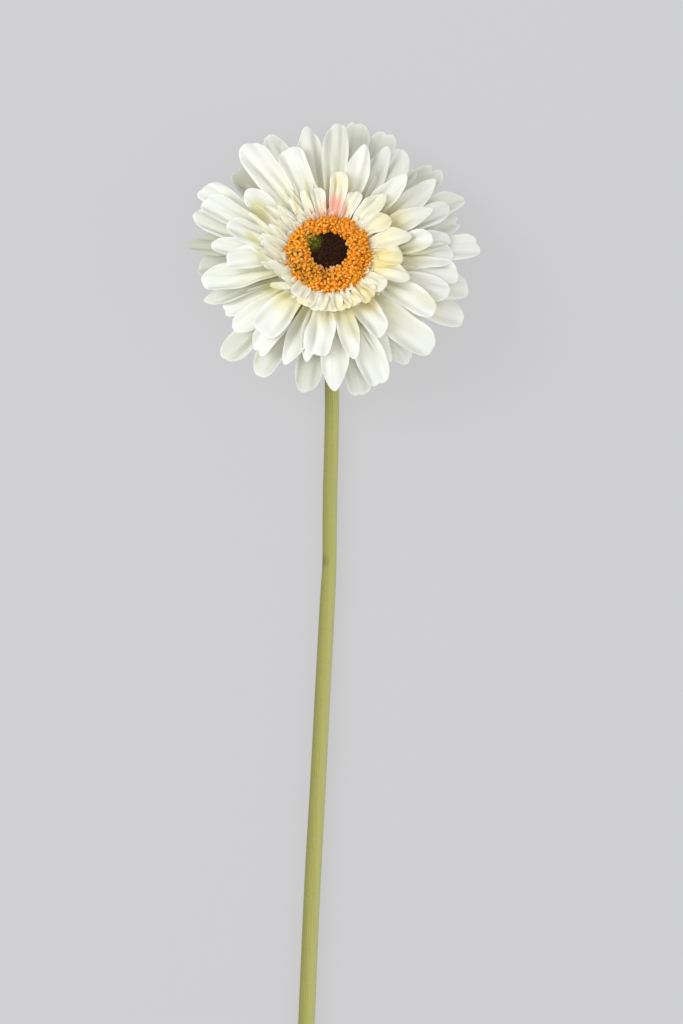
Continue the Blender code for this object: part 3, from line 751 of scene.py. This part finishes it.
def build_ray_petals(look):
    """One piece for each row of ray petals."""
    white = petal_finish("petal_white", look, look.body, look.tip)
    cream = petal_finish("petal_cream", look, look.cream, look.body)
    blade = Blade(*PETAL_GRID)
    draw, chance = (random.Random(look.seed + step) for step in (0, 1))
    for name, row in PETAL_ROWS.items():
        points, faces, numbers = [], [], []
        for petal in row[0]:
            cup = PETAL_CUP[1] + draw.uniform(-1, 1) * PETAL_CUP_SPREAD
            roll = draw.uniform(-1, 1) * PETAL_ROLL
            places, share, fold = ray_petal(blade, petal, row, look, cup, roll, chance)
            faces.append(blade.faces + len(points) * len(places))
            points.append(places)
            # How much painted shade greys this petal, such as those at the back and some at the top, varied
            # a little
            age = (petal[5] if len(petal) > 5 else LEAST_PAINTED_SHADE) * chance.uniform(0.75, 1.15)
            even = np.ones(len(places))
            # Where the painted highlight along the rim goes
            edge = blade.rim() * smooth(share, 0.1, 0.35)
            tone = even * chance.random()
            numbers.append((share, blade.across, fold, edge, tone, even * age, even * row[5]))
        labels = ("along", "across", "fold", "edge", "tone", "age", "depth")
        made = new_object(
            name, np.concatenate(points), np.concatenate(faces), finish=white if row[5] else cream,
            **{label: np.concatenate(part) for label, part in zip(labels, zip(*numbers))},
        )
        settle(made, "petals")


def whorl_rule():
    """Repeats a flat blade round the bloom's axis, and bends each copy up and out."""
    rule = Rule(
        "inner_whorl", "Count Seed",
        "Root_radius Root_height Length Width Thickness Rise Curl Sway Start Arc Longer Sweep Swept_past",
    )
    stands = rule.geo("Points", {"Count": rule["Count"]})
    share = (rule.geo("InputIndex") + rule.random(0.1, 0.9, 0)) / rule["Count"]
    bearing = rule["Start"] + rule["Arc"] * share
    longer = 1 + rule["Longer"] * ((share * math.pi).sin() - 0.4)
    copies = rule.copies(stands, rule["Geometry"])
    draws = {
        "bearing": bearing,
        "reach": rule["Length"] * longer * rule.random(0.72, 1.18, 1),
        "rise": rule["Rise"] + rule.random(-0.18, 0.18, 2),
        "curl": rule["Curl"] + rule.random(-0.4, 0.4, 3),
        "sway": rule["Sway"] * rule.random(-1.0, 1.0, 4),
        "bend": rule["Sweep"] * (rule["Swept past"] - bearing).most(0.0),
        "roll": rule.random(-0.6, 0.6, 5),
        "girth": rule["Width"] * rule.random(0.7, 1.35, 6),
        "tone": rule.random(0.0, 1.0, 7),
        "phase": rule.random(0.0, 6.28, 8),
    }
    for name, value in draws.items():
        copies = rule.keep(copies, name, value, "INSTANCE")
    blades = rule.geo("RealizeInstances", {0: copies})
    along, across, spread, side = rule.read("along across spread side")
    bearing, reach, rise, curl, sway, bend, roll, girth, _, phase = (rule.kept(name) for name in draws)
    half = girth / 2
    chord = rise + curl * along / 2
    slope = rise + curl * along
    ripple = (along * 8 + phase).sin() * across * across * along * 0.35
    crease = (across * 5 + phase).cos() * 0.12
    lift = half * (across * across * 0.55 - 0.2 + ripple + crease) + side * rule["Thickness"] / 2
    ahead = reach * along * chord.cos() - lift * slope.sin()
    beside = spread * half * (roll * along).cos()
    height = rule["Root height"] + reach * along * chord.sin() + lift * slope.cos()
    height = height + spread * half * (roll * along).sin()
    bend = bend * along
    out = rule["Root radius"] + ahead * (sway + bend / 2).cos() - beside * (sway + bend).sin()
    aside = ahead * (sway + bend / 2).sin() + beside * (sway + bend).cos()
    place = rule.node(
        "ShaderNodeVectorRotate", {"Vector": rule.vector(out, aside, height), "Angle": bearing},
        rotation_type="Z_AXIS",
    )
    return rule.close(rule.moved(blades, Position=place))


def build_inner_petals(look):
    """Whorls of strips, and the receptacle that they grow from."""
    finish = bpy.data.materials["petal_cream"]
    blade = Blade(*INNER_GRID)
    rule = whorl_rule()
    for number, (name, whorl) in enumerate(INNER_WHORLS.items()):
        count, tip, sizes, turns = whorl
        root_height, reach, width = (size * MM for size in sizes)
        rise, curl, sway, start, arc = (math.radians(turn) for turn in turns)
        partly = turns[-1] < 360
        along, across = blade.along * tip_share(tip, blade.across, 0.15), blade.across
        spread = across * (0.5 + 0.5 * smooth(along, 0, 0.5)) * (1 - 0.25 * smooth(along, 0.6, 1))
        # The strips carry an edge share too, for the painted highlight on their rims
        made = new_object(
            name, np.stack((along, spread, blade.side), -1), blade.faces, along=along, across=across,
            spread=spread, edge=blade.rim() * 0.7, side=blade.side * blade.fullness(),
        )
        grow(
            made, rule, HEAD_FRAME, Count=count, Root_radius=INNER_ROOT_RADIUS, Root_height=root_height,
            Length=reach, Width=width, Thickness=INNER_THICKNESS, Rise=rise, Curl=curl, Sway=sway,
            Start=start, Arc=arc, Longer=INNER_LONGER * partly, Sweep=INNER_SWEEP * partly,
            Swept_past=INNER_SWEPT_PAST, Seed=look.seed + number, Material=finish,
        )
        settle(made, "petals")
    pale = plant_finish("receptacle_pale", (0.74, 0.74, 0.44), (0.58, 0.62, 0.30), 0.6, 700.0)
    build_turned("receptacle", RECEPTACLE_PROFILE, 64, pale, "petals")
    build_turned("receptacle_rim", SKIRT_PROFILE, 64, pale, "petals")


def rosette_rule():
    """Sets copies of a floret on the golden angle's spirals, standing on a crown."""
    rule = Rule(
        "golden_rosette", "Count Seed",
        "Inner_radius Outer_radius Crown Middle_radius Fall Lean Size Spread",
    )
    index = rule.geo("InputIndex")
    inner, outer = rule["Inner radius"], rule["Outer radius"]
    share = (index + 0.5) / rule["Count"]
    radius = (inner * inner + (outer * outer - inner * inner) * share) ** 0.5
    bearing = index * GOLDEN_ANGLE
    gap = radius - rule["Middle radius"]
    height = rule["Crown"] - rule["Fall"] * gap * gap + rule.random(-0.15 * MM, 0.15 * MM, 0)
    cos, sin = bearing.cos(), bearing.sin()
    shift = HEART_SHIFT - radius * radius * SHIFT_FALL
    place = rule.vector(radius * cos, radius * sin + shift, height)
    stands = rule.geo("Points", {"Count": rule["Count"], "Position": place})
    slope = gap * rule["Fall"] * 2 * rule["Lean"]
    axis = rule.vector(
        slope * cos + rule.random(-0.25, 0.25, 1), slope * sin + rule.random(-0.25, 0.25, 2), 1.0
    )
    upright = rule.node("FunctionNodeAlignRotationToVector", {"Vector": axis}, axis="Z")
    turned = rule.turned(upright, rule.spin(rule.random(0.0, math.tau, 3)))
    size = rule["Size"] * (1 + rule["Spread"] * rule.random(-1.0, 1.0, 4))
    copies = rule.copies(stands, rule["Geometry"], Rotation=turned, Scale=size)
    return rule.close(rule.keep(copies, "tone", rule.random(0.0, 1.0, 5), "INSTANCE"))


def spun(profile, sides, lobed=0.0, lobes=5):
    """Vertices and faces of a closed shape turned about Z. Lobes swell it by a share of its radius."""
    points, rings, faces = [], [], []
    for radius, height in profile:
        if radius == 0:
            rings.append([len(points)] * sides)
            points.append((0, 0, height))
            continue
        rings.append(list(range(len(points), len(points) + sides)))
        for side in range(sides):
            angle = math.tau * side / sides
            swell = radius * (1 + lobed * math.cos(lobes * angle))
            points.append((swell * math.cos(angle), swell * math.sin(angle), height))
    for low, high in zip(rings, rings[1:]):
        for side in range(sides):
            after = (side + 1) % sides
            faces.append(tuple(dict.fromkeys((low[side], low[after], high[after], high[side]))))
    return points, faces


def glowing(profile, sides, lobed, lobes, low, span):
    """A small turned shape with the glow on each vertex: lighter towards its top, partly pollen yellow and
    partly painted highlight.
    """
    points, faces = spun(profile, sides, lobed, lobes)
    return points, faces, np.clip((np.array(points)[:, 2] - low) / span, 0, 1)


def corolla():
    """An open floret one unit high: a tube whose five lobes curl back from its mouth, its glow running from
    painted shade in the throat to painted highlight at the lobe tips.
    """
    points, faces = spun(((0, -0.6), (0.30, -0.6), (0.36, 0.5), (0.2, 0.55), (0, 0.3)), 5)
    glow = [0.0] * len(points)
    for lobe in range(5):
        out = radial(math.tau * (lobe + 0.5) / 5)
        beside = Vector((-out.y, out.x, 0))
        first = len(points)
        # light: the glow at each station of a lobe, rising to painted highlight at its tip
        for reach, height, half, thick, light in (
            (0.24, 0.45, 0.26, 0.16, 0.1), (0.62, 0.86, 0.27, 0.14, 0.6), (0.92, 0.72, 0.17, 0.12, 0.9)
        ):
            ridge = out * reach + Vector((0, 0, height))
            points += [ridge - beside * half, ridge - Vector((0, 0, thick)), ridge + beside * half,
                       ridge + Vector((0, 0, thick * 0.5))]
            glow += [light, light * 0.4, light, light]
        points.append(out + Vector((0, 0, 0.5)))
        glow.append(1.0)
        for station in (0, 4):
            for corner in range(4):
                low, after = first + station + corner, first + station + (corner + 1) % 4
                faces.append((low, after, after + 4, low + 4))
        for corner in range(4):
            faces.append((first + 8 + corner, first + 8 + (corner + 1) % 4, first + 12))
        faces.append((first + 3, first + 2, first + 1, first))
    return points, faces, glow


def build_disc(look):
    """The ring's open florets, the rim of opening ones and the heart's buds, on their cushion."""
    rule = rosette_rule()
    pale = [min(1.0, 0.5 * part + 0.35) for part in look.pollen]
    orange = floret_finish("floret_orange", look, 0.6)
    dusty = floret_finish("anther_dust", look, 0.7)
    opening = floret_finish("rim_pale", look, 0.6, pale)
    dark = heart_finish(look)
    for name, shape, count, finish, node in (
        ("open_florets", corolla(), look.open_count, orange, "floret_ring"),
        ("anthers", glowing(*ANTHER), look.open_count, dusty, "floret_ring"),
        ("rim_florets", glowing(*BUD), look.rim_count, opening, "floret_ring"),
        ("heart_buds", glowing(*BUD), look.heart_count, dark, "floret_heart"),
    ):
        points, faces, glow = shape
        ((inner, outer), (crown, middle, fall)), lean, size, spread, seed = FLORETS[name]
        made = new_object(name, points, faces, glow=glow)
        grow(
            made, rule, HEAD_FRAME, Count=count, Inner_radius=inner, Outer_radius=outer, Crown=crown,
            Middle_radius=middle, Fall=fall, Lean=lean, Size=size * MM, Spread=spread, Seed=seed,
            Material=finish,
        )
        settle(made, node)
    humus = plant_finish("cushion_brown", (0.50, 0.16, 0.01), (0.16, 0.075, 0.006), 0.75, 1500.0)
    build_turned("disc_cushion", CUSHION_PROFILE, 72, humus, "floret_ring", HEART_SHIFT)


def rounded(profile, steps):
    """A smoother profile: more points on a curve through the given ones."""
    ends = [profile[0], *profile, profile[-1]]
    made = []
    for a, b, c, d in zip(ends, ends[1:], ends[2:], ends[3:]):
        for step in range(steps):
            t = step / steps
            made.append(tuple(
                (2 * q + (r - p) * t + (2 * p - 5 * q + 4 * r - s) * t**2
                 + (3 * q - p - 3 * r + s) * t**3) / 2
                for p, q, r, s in zip(a, b, c, d)
            ))
    return [*made, tuple(profile[-1])]


def build_turned(name, profile, sides, finish, node, shift=0.0):
    """A part of the bloom turned about its axis. A shift makes it as lopsided as the disc."""
    profile = [(radius * MM, height * MM) for radius, height in profile]
    points, faces = spun([profile[0], *rounded(profile[1:-1], 3), profile[-1]], sides)
    points = np.array(points)
    points[:, 1] += shift - (points[:, 0] ** 2 + points[:, 1] ** 2) * SHIFT_FALL * bool(shift)
    made = new_object(name, points, faces, finish=finish)
    made.data.transform(HEAD_FRAME)
    settle(made, node)


def bract_rule():
    """Repeats a scale round the bloom's axis."""
    rule = Rule("bract_row", "Count Seed", "Turn")
    stands = rule.geo("Points", {"Count": rule["Count"]})
    step = rule.geo("InputIndex") + rule["Turn"] + rule.random(-0.06, 0.06, 0)
    turned = rule.spin(step * math.tau / rule["Count"])
    copies = rule.copies(stands, rule["Geometry"], Rotation=turned, Scale=rule.random(0.985, 1.015, 1))
    return rule.close(rule.keep(copies, "tone", rule.random(0.0, 1.0, 2), "INSTANCE"))


def build_involucre(look):
    finish = plant_finish("cup_green", look.deep, scaled(look.deep, 0.5), 0.6, 900.0, 0.3)
    build_turned("involucre_cup", CUP_PROFILE, 40, finish, "involucre")
    radii, heights = zip(*CUP_PROFILE[1:7])
    blade = Blade(*BRACT_GRID)
    along, across = blade.along, blade.across
    rule = bract_rule()
    for name, (count, foot, tip, width, turn) in BRACT_ROWS.items():
        height = foot + (tip - foot) * along
        spread = np.interp(along, (0, 0.25, 0.5, 0.8, 1), (0.8, 0.95, 1, 0.6, 0.16))
        lift = (BRACT_LIFT[0] + (BRACT_LIFT[1] - BRACT_LIFT[0]) * along) * (1 - 0.75 * across**2)
        lift += BRACT_RIDGE * np.exp(-((across / 0.15) ** 2))
        lift += BRACT_THICKNESS / 2 * blade.side * blade.fullness()
        out = np.interp(height, heights, radii) * MM + lift
        aside = across * spread * width * MM / 2
        points = np.stack((np.sqrt(out**2 - aside**2 * 0.8), aside, height * MM), -1)
        made = new_object(name, points, blade.faces, along=along, across=across)
        grow(made, rule, HEAD_FRAME, Count=count, Turn=turn, Seed=count, Material=finish)
        settle(made, "involucre")


def stem_stations():
    """The stem's middle line and radius from the cup to the cut, as (x, y, z, radius) in metres."""
    lying = [
        (x * MM + DISC_MIDDLE.x, y * MM + DISC_MIDDLE.y, (max(lift, 0.0) + radius * STEM_SETTLE) * MM,
         radius * MM)
        for x, y, lift, radius in rounded(STEM_ROUTE, 3)
    ]
    joint = HEAD_FRAME @ Vector((0, 0, CUP_PROFILE[0][1] * MM - NECK_GAP))
    first, second = (Vector(station[:3]) for station in lying[:2])
    onward = (second - first).normalized()
    neck = (joint, joint - HEAD_AXIS * NECK_REACH, first - onward * NECK_REACH, first)
    places, _ = bezier(neck, np.arange(NECK_STEPS) / NECK_STEPS)
    return [(*place, NECK_RADIUS) for place in places.tolist()] + lying


def stem_rule():
    """Sweeps a ribbed round section along the stem's route, and slants its cut."""
    rule = Rule("ribbed_stem", "Sides Ribs Seed", "Spacing Rib_height Slant")
    girth, turn, passed, left = rule.read("girth turn passed left")
    path = rule.geo("MeshToCurve", {"Mesh": rule["Geometry"]})
    path = rule.geo("SetCurveRadius", {"Curve": path, "Radius": girth})
    path = rule.geo("ResampleCurve", {"Curve": path, "Length": rule["Spacing"]}, mode="LENGTH")
    gone = rule.geo("SplineParameter", out="Length")
    path = rule.keep(path, "left", rule.geo("SplineLength") - gone)
    path = rule.keep(path, "passed", gone)
    section = rule.geo("CurvePrimitiveCircle", {"Resolution": rule["Sides"], "Radius": 1.0})
    section = rule.keep(section, "turn", rule.geo("InputIndex") * math.tau / rule["Sides"])
    body = rule.geo(
        "CurveToMesh", {"Curve": path, "Profile Curve": section, "Fill Caps": True, "Scale": girth}
    )
    rib = (turn * rule["Ribs"] + (passed * 55.0).sin() * 0.6).cos()
    swell = rule.node(
        "ShaderNodeVectorMath", {0: rule.geo("InputNormal"), "Scale": rib * rule["Rib height"]},
        operation="SCALE",
    )
    body = rule.moved(body, Offset=swell)
    x, y, z = rule.split(rule.geo("InputPosition"))
    ending = 1 - left.step(0.0, 0.004)
    y = y - (z - CUT_LEVEL) * rule["Slant"] * ending
    return rule.close(rule.moved(body, Position=rule.vector(x, y, z.least(0.02 * MM))))


def down_rule():
    """Fine hairs standing on a surface."""
    rule = Rule("down", "Seed", "Density Length")
    stands, rotation = rule.geo(
        "DistributePointsOnFaces",
        {"Mesh": rule["Geometry"], "Density": rule["Density"], "Seed": rule["Seed"]},
        out=("Points", "Rotation"),
    )
    hair = rule.geo("MeshCone", {"Vertices": 3, "Radius Top": 0.0, "Radius Bottom": 0.035, "Depth": 1.0})
    lean = rule.spin(rule.random(-0.6, 0.6, 1), (1.0, 0.0, 0.0))
    size = rule["Length"] * rule.random(0.5, 1.2, 2)
    return rule.close(rule.copies(stands, hair, Rotation=rule.turned(rotation, lean), Scale=size))


def build_cut(stations, finish):
    """The face of the cut: green rind, a ring of fibres and pale pith with a small hollow."""
    before, last = (Vector(station[:3]) for station in stations[-2:])
    out = (last - before).normalized()
    side = Vector((0, 0, 1)).cross(out).normalized()
    up = out.cross(side)
    girth = stations[-1][3]
    points, faces = spun(CUT_PROFILE, 48)
    places = []
    for x, y, height in points:
        spot = last + side * (x * girth) + up * (y * girth) + out * (height * MM)
        spot.y -= (spot.z - CUT_LEVEL) * CUT_SLANT
        places.append(spot)
    outward = [math.hypot(x, y) for x, y, _ in points]
    around = [math.atan2(y, x) for x, y, _ in points]
    settle(new_object("cut_face", places, faces, finish=finish, outward=outward, around=around), "stem")


def vertex_numbers(mesh, name):
    """A vector of each vertex, such as its place, as the rows of an array."""
    rows = np.empty(len(mesh.vertices) * 3, np.float32)
    mesh.vertices.foreach_get(name, rows)
    return rows.reshape(-1, 3)


def build_stem(look):
    stations = stem_stations()
    build_cut(stations, cut_finish(look))
    skin = plant_finish("stem_green", look.green, scaled(look.green, 0.78), 0.5, 700.0, 0.4)
    pale = plant_finish("down_pale", (0.6, 0.62, 0.34), look.green, 0.6, 700.0)
    stalk = new_object(
        "stem_stalk", [station[:3] for station in stations],
        edges=[(index, index + 1) for index in range(len(stations) - 1)],
        girth=[station[3] for station in stations],
    )
    grow(
        stalk, stem_rule(), Spacing=STEM_SPACING, Sides=STEM_SIDES, Ribs=look.ribs,
        Rib_height=look.rib_height, Slant=CUT_SLANT, Seed=1, Material=skin,
    )
    # Painted light on the stem: each vertex's share of facing +X, to make that side lighter and the other
    # darker
    sunny = np.ascontiguousarray(vertex_numbers(stalk.data, "normal")[:, 0])
    stalk.data.attributes.new("sunny", "FLOAT", "POINT").data.foreach_set("value", sunny)
    down = down_rule()
    for name, source, node in (
        ("stem_down", stalk, "stem"), ("involucre_down", bpy.data.objects["bracts_mid"], "involucre")
    ):
        hairs = linked(name, source.data.copy())
        hairs.data.materials.clear()
        grow(hairs, down, Density=look.hair_density, Length=look.hair, Seed=5, Material=pale)
        places = vertex_numbers(hairs.data, "co")
        places[:, 2] = np.maximum(places[:, 2], 0)
        hairs.data.vertices.foreach_set("co", places.ravel())
        settle(hairs, node)
    settle(stalk, "stem")


def petal_finish(name, look, body, tip):
    """Matt creamy petal: fine nerves, painted shade in folds, by the rims and between petals, a painted
    highlight on the rims, a partly painted olive root and a cool tip.
    """
    paint = Finish(
        name, body, Roughness=0.58, Subsurface_Weight=0.12, Subsurface_Radius=(1.0, 0.95, 0.7),
        Subsurface_Scale=1.4 * MM, Sheen_Weight=0.12, Sheen_Roughness=0.4, Specular_IOR_Level=0.3,
    )
    along, across, tone, fold, age, depth, edge = paint.read("along across tone fold age depth edge")
    nerves = paint.noise(paint.vector(across * 9, along * 1.3, tone * 37), 1.0, 3.0)
    streak = paint.noise(paint.vector(across * 2.2 + 5, along * 2.0, tone * 61), 1.0, 1.0)
    paint.coat(tip, along.step(0.4, 0.95) * 0.9)
    # The root: the petal's own yellow base, deepened as painted shade in the gaps, most on the rows that
    # lie further back
    root = (1 - (along - depth * 0.2).step(0.02, 0.46)) * (0.3 + depth * 0.4 + tone * 0.25)
    paint.coat(paint.mix(look.yolk, look.root, depth), root)
    # Painted shade: grey in the folds, on the greyed petals and in a few random streaks
    paint.coat(look.shade, (fold * 0.34 + age + streak.step(0.45, 0.8) * 0.1).most(0.85))
    # Painted shade: a darker band just inside the rim
    paint.coat(look.shade, (across * across).step(0.2, 0.55) * (1 - edge) * 0.14)
    # Painted highlight along the rims, less on the greyed petals
    paint.coat(look.light, edge * 0.6 * (1 - age))
    # Painted shade: olive patches between and on the petals
    for *place, share in PAINTED_SHADE_PATCHES:
        paint.coat(look.hollow, paint.patch(*place) * share)
    paint.brighten(0.93 + nerves * 0.13)
    # The warm yellow, partly painted shade, and the real pink blush
    tints = ((look.yellow_tint_and_shade, YELLOW_TINTS_AND_SHADE, 0.5 + streak), (look.blush, BLUSHES, 0.65 + nerves * 0.6))
    for tint, spots, grain in tints:
        for spot, reach, share in spots:
            paint.coat(tint, paint.near(spot, reach) * share * grain)
    return paint.wear(0.5 + nerves * 0.2, nerves, 0.35, 0.12)


def floret_finish(name, look, roughness, pale=None):
    """A floret that runs from a dark throat, partly painted shade, to a light tip, partly pollen yellow and
    partly painted highlight, each one a little different.
    """
    paint = Finish(name, look.ember, Roughness=roughness, Subsurface_Weight=0.08, Subsurface_Scale=0.5 * MM)
    glow, tone = paint.read("glow tone")
    grain = paint.noise(paint.place, 2600.0)
    # Over the ember ground left in the throat as painted shade: orange higher up, then yellow at the tips,
    # partly pollen and partly painted highlight
    paint.coat(look.orange, (glow + tone * 0.35).step(0.12, 0.5))
    paint.coat(look.pollen, (glow * 0.55 + tone * 0.65).step(0.78, 1.15))
    paint.coat(look.ember, (1 - tone).step(0.62, 0.95) * 0.5)
    if pale:
        paint.coat(pale, paint.near(*PALE_SPOT) * glow)
    patch = paint.noise(paint.place, 420.0, 1.0).step(0.44, 0.58)
    for spot, reach in OLIVE_SPOTS:
        paint.coat(look.olive, paint.near(spot, reach) * patch * (0.95 - glow * 0.45))
    paint.coat(look.moss, paint.near(*MOSSY_SPOT) * 0.8)
    return paint.wear(roughness - 0.1 + grain * 0.2, grain, 0.3, 0.08)


def heart_finish(look):
    """Dark closed buds, lighter towards their tops as painted highlight, mossy on one side of the heart."""
    paint = Finish("bud_dark", look.dark, Roughness=0.7, Specular_IOR_Level=0.15)
    glow, tone = paint.read("glow tone")
    grain = paint.noise(paint.place, 1900.0)
    # Painted highlight: the buds lighter towards their tops
    paint.coat(scaled(look.dark, 1.6), glow * grain)
    paint.coat(look.moss, paint.near(*MOSSY_SPOT) * (0.5 + tone * 0.5))
    return paint.wear(0.6 + grain * 0.25, grain, 0.4, 0.1)


def plant_finish(name, colour, dark, roughness, scale, stripes=0.0):
    """A plant's skin: long stripes and small freckles in two of its colours, with painted light on the
    stem: one side darker, the other lighter with a painted sheen, and painted shade in a small dent.
    """
    paint = Finish(
        name, colour, Roughness=roughness, Subsurface_Weight=0.08, Subsurface_Scale=0.6 * MM,
        Specular_IOR_Level=0.4,
    )
    x, y, z = paint.split(paint.place)
    long_way = paint.noise(paint.vector(x * 900, y * 14, z * 900), 1.0, 3.0)
    freckle = paint.noise(paint.place, scale, 3.0)
    paint.coat(dark, long_way.step(0.42, 0.7) * stripes + freckle.step(0.5, 0.78) * 0.4)
    # Painted light: darker on the stem's -X side and lighter on its +X side
    sunny = paint.kept("sunny")
    paint.brighten(0.6 + sunny.step(-1.0, 1.0) * 0.62)
    # Painted sheen on the stem's lit side
    paint.coat(STEM_PAINTED_SHEEN, sunny.step(0.0, 0.9) * 0.4)
    # Painted shade in the small dent beside the bend
    paint.coat(scaled(dark, 0.4), paint.near(*DENT_SHADE_SPOT, BED) * 0.6)
    return paint.wear(roughness - 0.1 + freckle * 0.25, long_way * 0.6 + freckle * 0.4, 0.3, 0.1)


def cut_finish(look):
    """Wet cut: green rind, a ring of darker fibre bundles, pale pith."""
    paint = Finish("cut_wet", look.pith, Roughness=0.3, Subsurface_Weight=0.15, Subsurface_Scale=0.8 * MM)
    outward, around = paint.read("outward around")
    cells = paint.noise(paint.place, 3200.0, 3.0)
    bundles = (around * 16).cos().step(0.1, 0.8) * outward.step(0.6, 0.68) * (1 - outward.step(0.76, 0.84))
    paint.coat(look.green, outward.step(0.72, 0.92))
    paint.coat(look.deep, bundles * 0.6 + (1 - outward.step(0.08, 0.34)) * 0.75)
    paint.brighten(0.85 + cells * 0.3)
    return paint.wear(0.2 + cells * 0.3, cells, 0.5, 0.08)


def build_floor(look):
    paint = Finish(
        "pale_board", look.floor, Roughness=0.85, Specular_IOR_Level=0.2,
        Emission_Color=(1, 1, 1.02, 1), Emission_Strength=look.glow,
    )
    grain = paint.noise(paint.place, 900.0)
    paint.coat(scaled(look.floor, 0.985), grain)
    corners = [(x * FLOOR_HALF, y * FLOOR_HALF, 0) for x, y in ((-1, -1), (1, -1), (1, 1), (-1, 1))]
    new_object("floor", corners, [range(4)], finish=paint.wear(None, grain, 0.04, 0.05))


def build_stage(look):
    """A plain pale surface, soft light from above and both sides, and the camera above."""
    build_floor(look)
    scene = bpy.context.scene
    scene.view_settings.view_transform = "Standard"
    scene.world = bpy.data.worlds.new("studio")
    scene.world.use_nodes = True
    even = scene.world.node_tree.nodes["Background"].inputs
    even["Color"].default_value = (1.0, 1.0, 1.0, 1)
    even["Strength"].default_value = look.sky
    for name, (size, spot) in LIGHTS.items():
        lamp = bpy.data.lights.new(f"light_{name}", "AREA")
        lamp.energy = getattr(look, name)
        lamp.size = size
        light = linked(f"light_{name}", lamp)
        light.location = spot
        light.rotation_euler = (HEAD_CENTRE - light.location).to_track_quat("-Z", "Y").to_euler()
    lens = bpy.data.cameras.new("overhead")
    lens.sensor_fit = "VERTICAL"
    lens.lens = lens.sensor_height * (look.distance - HEAD_CENTRE.z / 2) / look.view_height
    lens.clip_end = 20
    scene.camera = linked("overhead", lens)
    scene.camera.location = DISC_MIDDLE + Vector((*VIEW_AIM, look.distance))


class GERBERA_OT_ray_petals(bpy.types.Operator):
    """Three rows of long petals and the small broad ones inside them"""

    bl_idname = "gerbera.ray_petals"
    bl_label = "Ray petals"

    def execute(self, context):
        build_ray_petals(context.scene.gerbera.petals)
        return {"FINISHED"}


class GERBERA_OT_inner_petals(bpy.types.Operator):
    """Whorls of short petals round the disc, on the receptacle"""

    bl_idname = "gerbera.inner_petals"
    bl_label = "Inner petals"

    def execute(self, context):
        build_inner_petals(context.scene.gerbera.petals)
        return {"FINISHED"}


class GERBERA_OT_disc(bpy.types.Operator):
    """Open florets in a ring, opening ones round its rim, and closed buds in the heart"""

    bl_idname = "gerbera.disc"
    bl_label = "Disc florets"

    def execute(self, context):
        build_disc(context.scene.gerbera.disc)
        return {"FINISHED"}


class GERBERA_OT_involucre(bpy.types.Operator):
    """The green cup under the bloom and its bracts"""

    bl_idname = "gerbera.involucre"
    bl_label = "Involucre"

    def execute(self, context):
        build_involucre(context.scene.gerbera.stem)
        return {"FINISHED"}


class GERBERA_OT_stem(bpy.types.Operator):
    """The ribbed, finely haired stem and its slanted cut"""

    bl_idname = "gerbera.stem"
    bl_label = "Stem"

    def execute(self, context):
        build_stem(context.scene.gerbera.stem)
        return {"FINISHED"}


class GERBERA_OT_stage(bpy.types.Operator):
    """Floor, light and camera"""

    bl_idname = "gerbera.stage"
    bl_label = "Stage"

    def execute(self, context):
        build_stage(context.scene.gerbera.stage)
        return {"FINISHED"}


OPERATORS = (
    GERBERA_OT_ray_petals,
    GERBERA_OT_inner_petals,
    GERBERA_OT_disc,
    GERBERA_OT_involucre,
    GERBERA_OT_stem,
    GERBERA_OT_stage,
)


class GERBERA_PT_pieces(bpy.types.Panel):
    """Lists what the flower is built from"""

    bl_label = "Gerbera"
    bl_space_type = "VIEW_3D"
    bl_region_type = "UI"
    bl_category = "Gerbera"

    def draw(self, context):
        for operator in OPERATORS:
            self.layout.operator(operator.bl_idname)


SETTINGS = (PetalSettings, DiscSettings, StemSettings, StageSettings, GerberaSettings)
CLASSES = (*SETTINGS, *OPERATORS, GERBERA_PT_pieces)


def register():
    for cls in CLASSES:
        bpy.utils.register_class(cls)
    bpy.types.Scene.gerbera = PointerProperty(type=GerberaSettings)


def unregister():
    del bpy.types.Scene.gerbera
    for cls in reversed(CLASSES):
        bpy.utils.unregister_class(cls)


def main():
    register()
    bpy.ops.gerbera.ray_petals()
    bpy.ops.gerbera.inner_petals()
    bpy.ops.gerbera.disc()
    bpy.ops.gerbera.involucre()
    bpy.ops.gerbera.stem()
    bpy.ops.gerbera.stage()


if __name__ == "__main__":
    main()
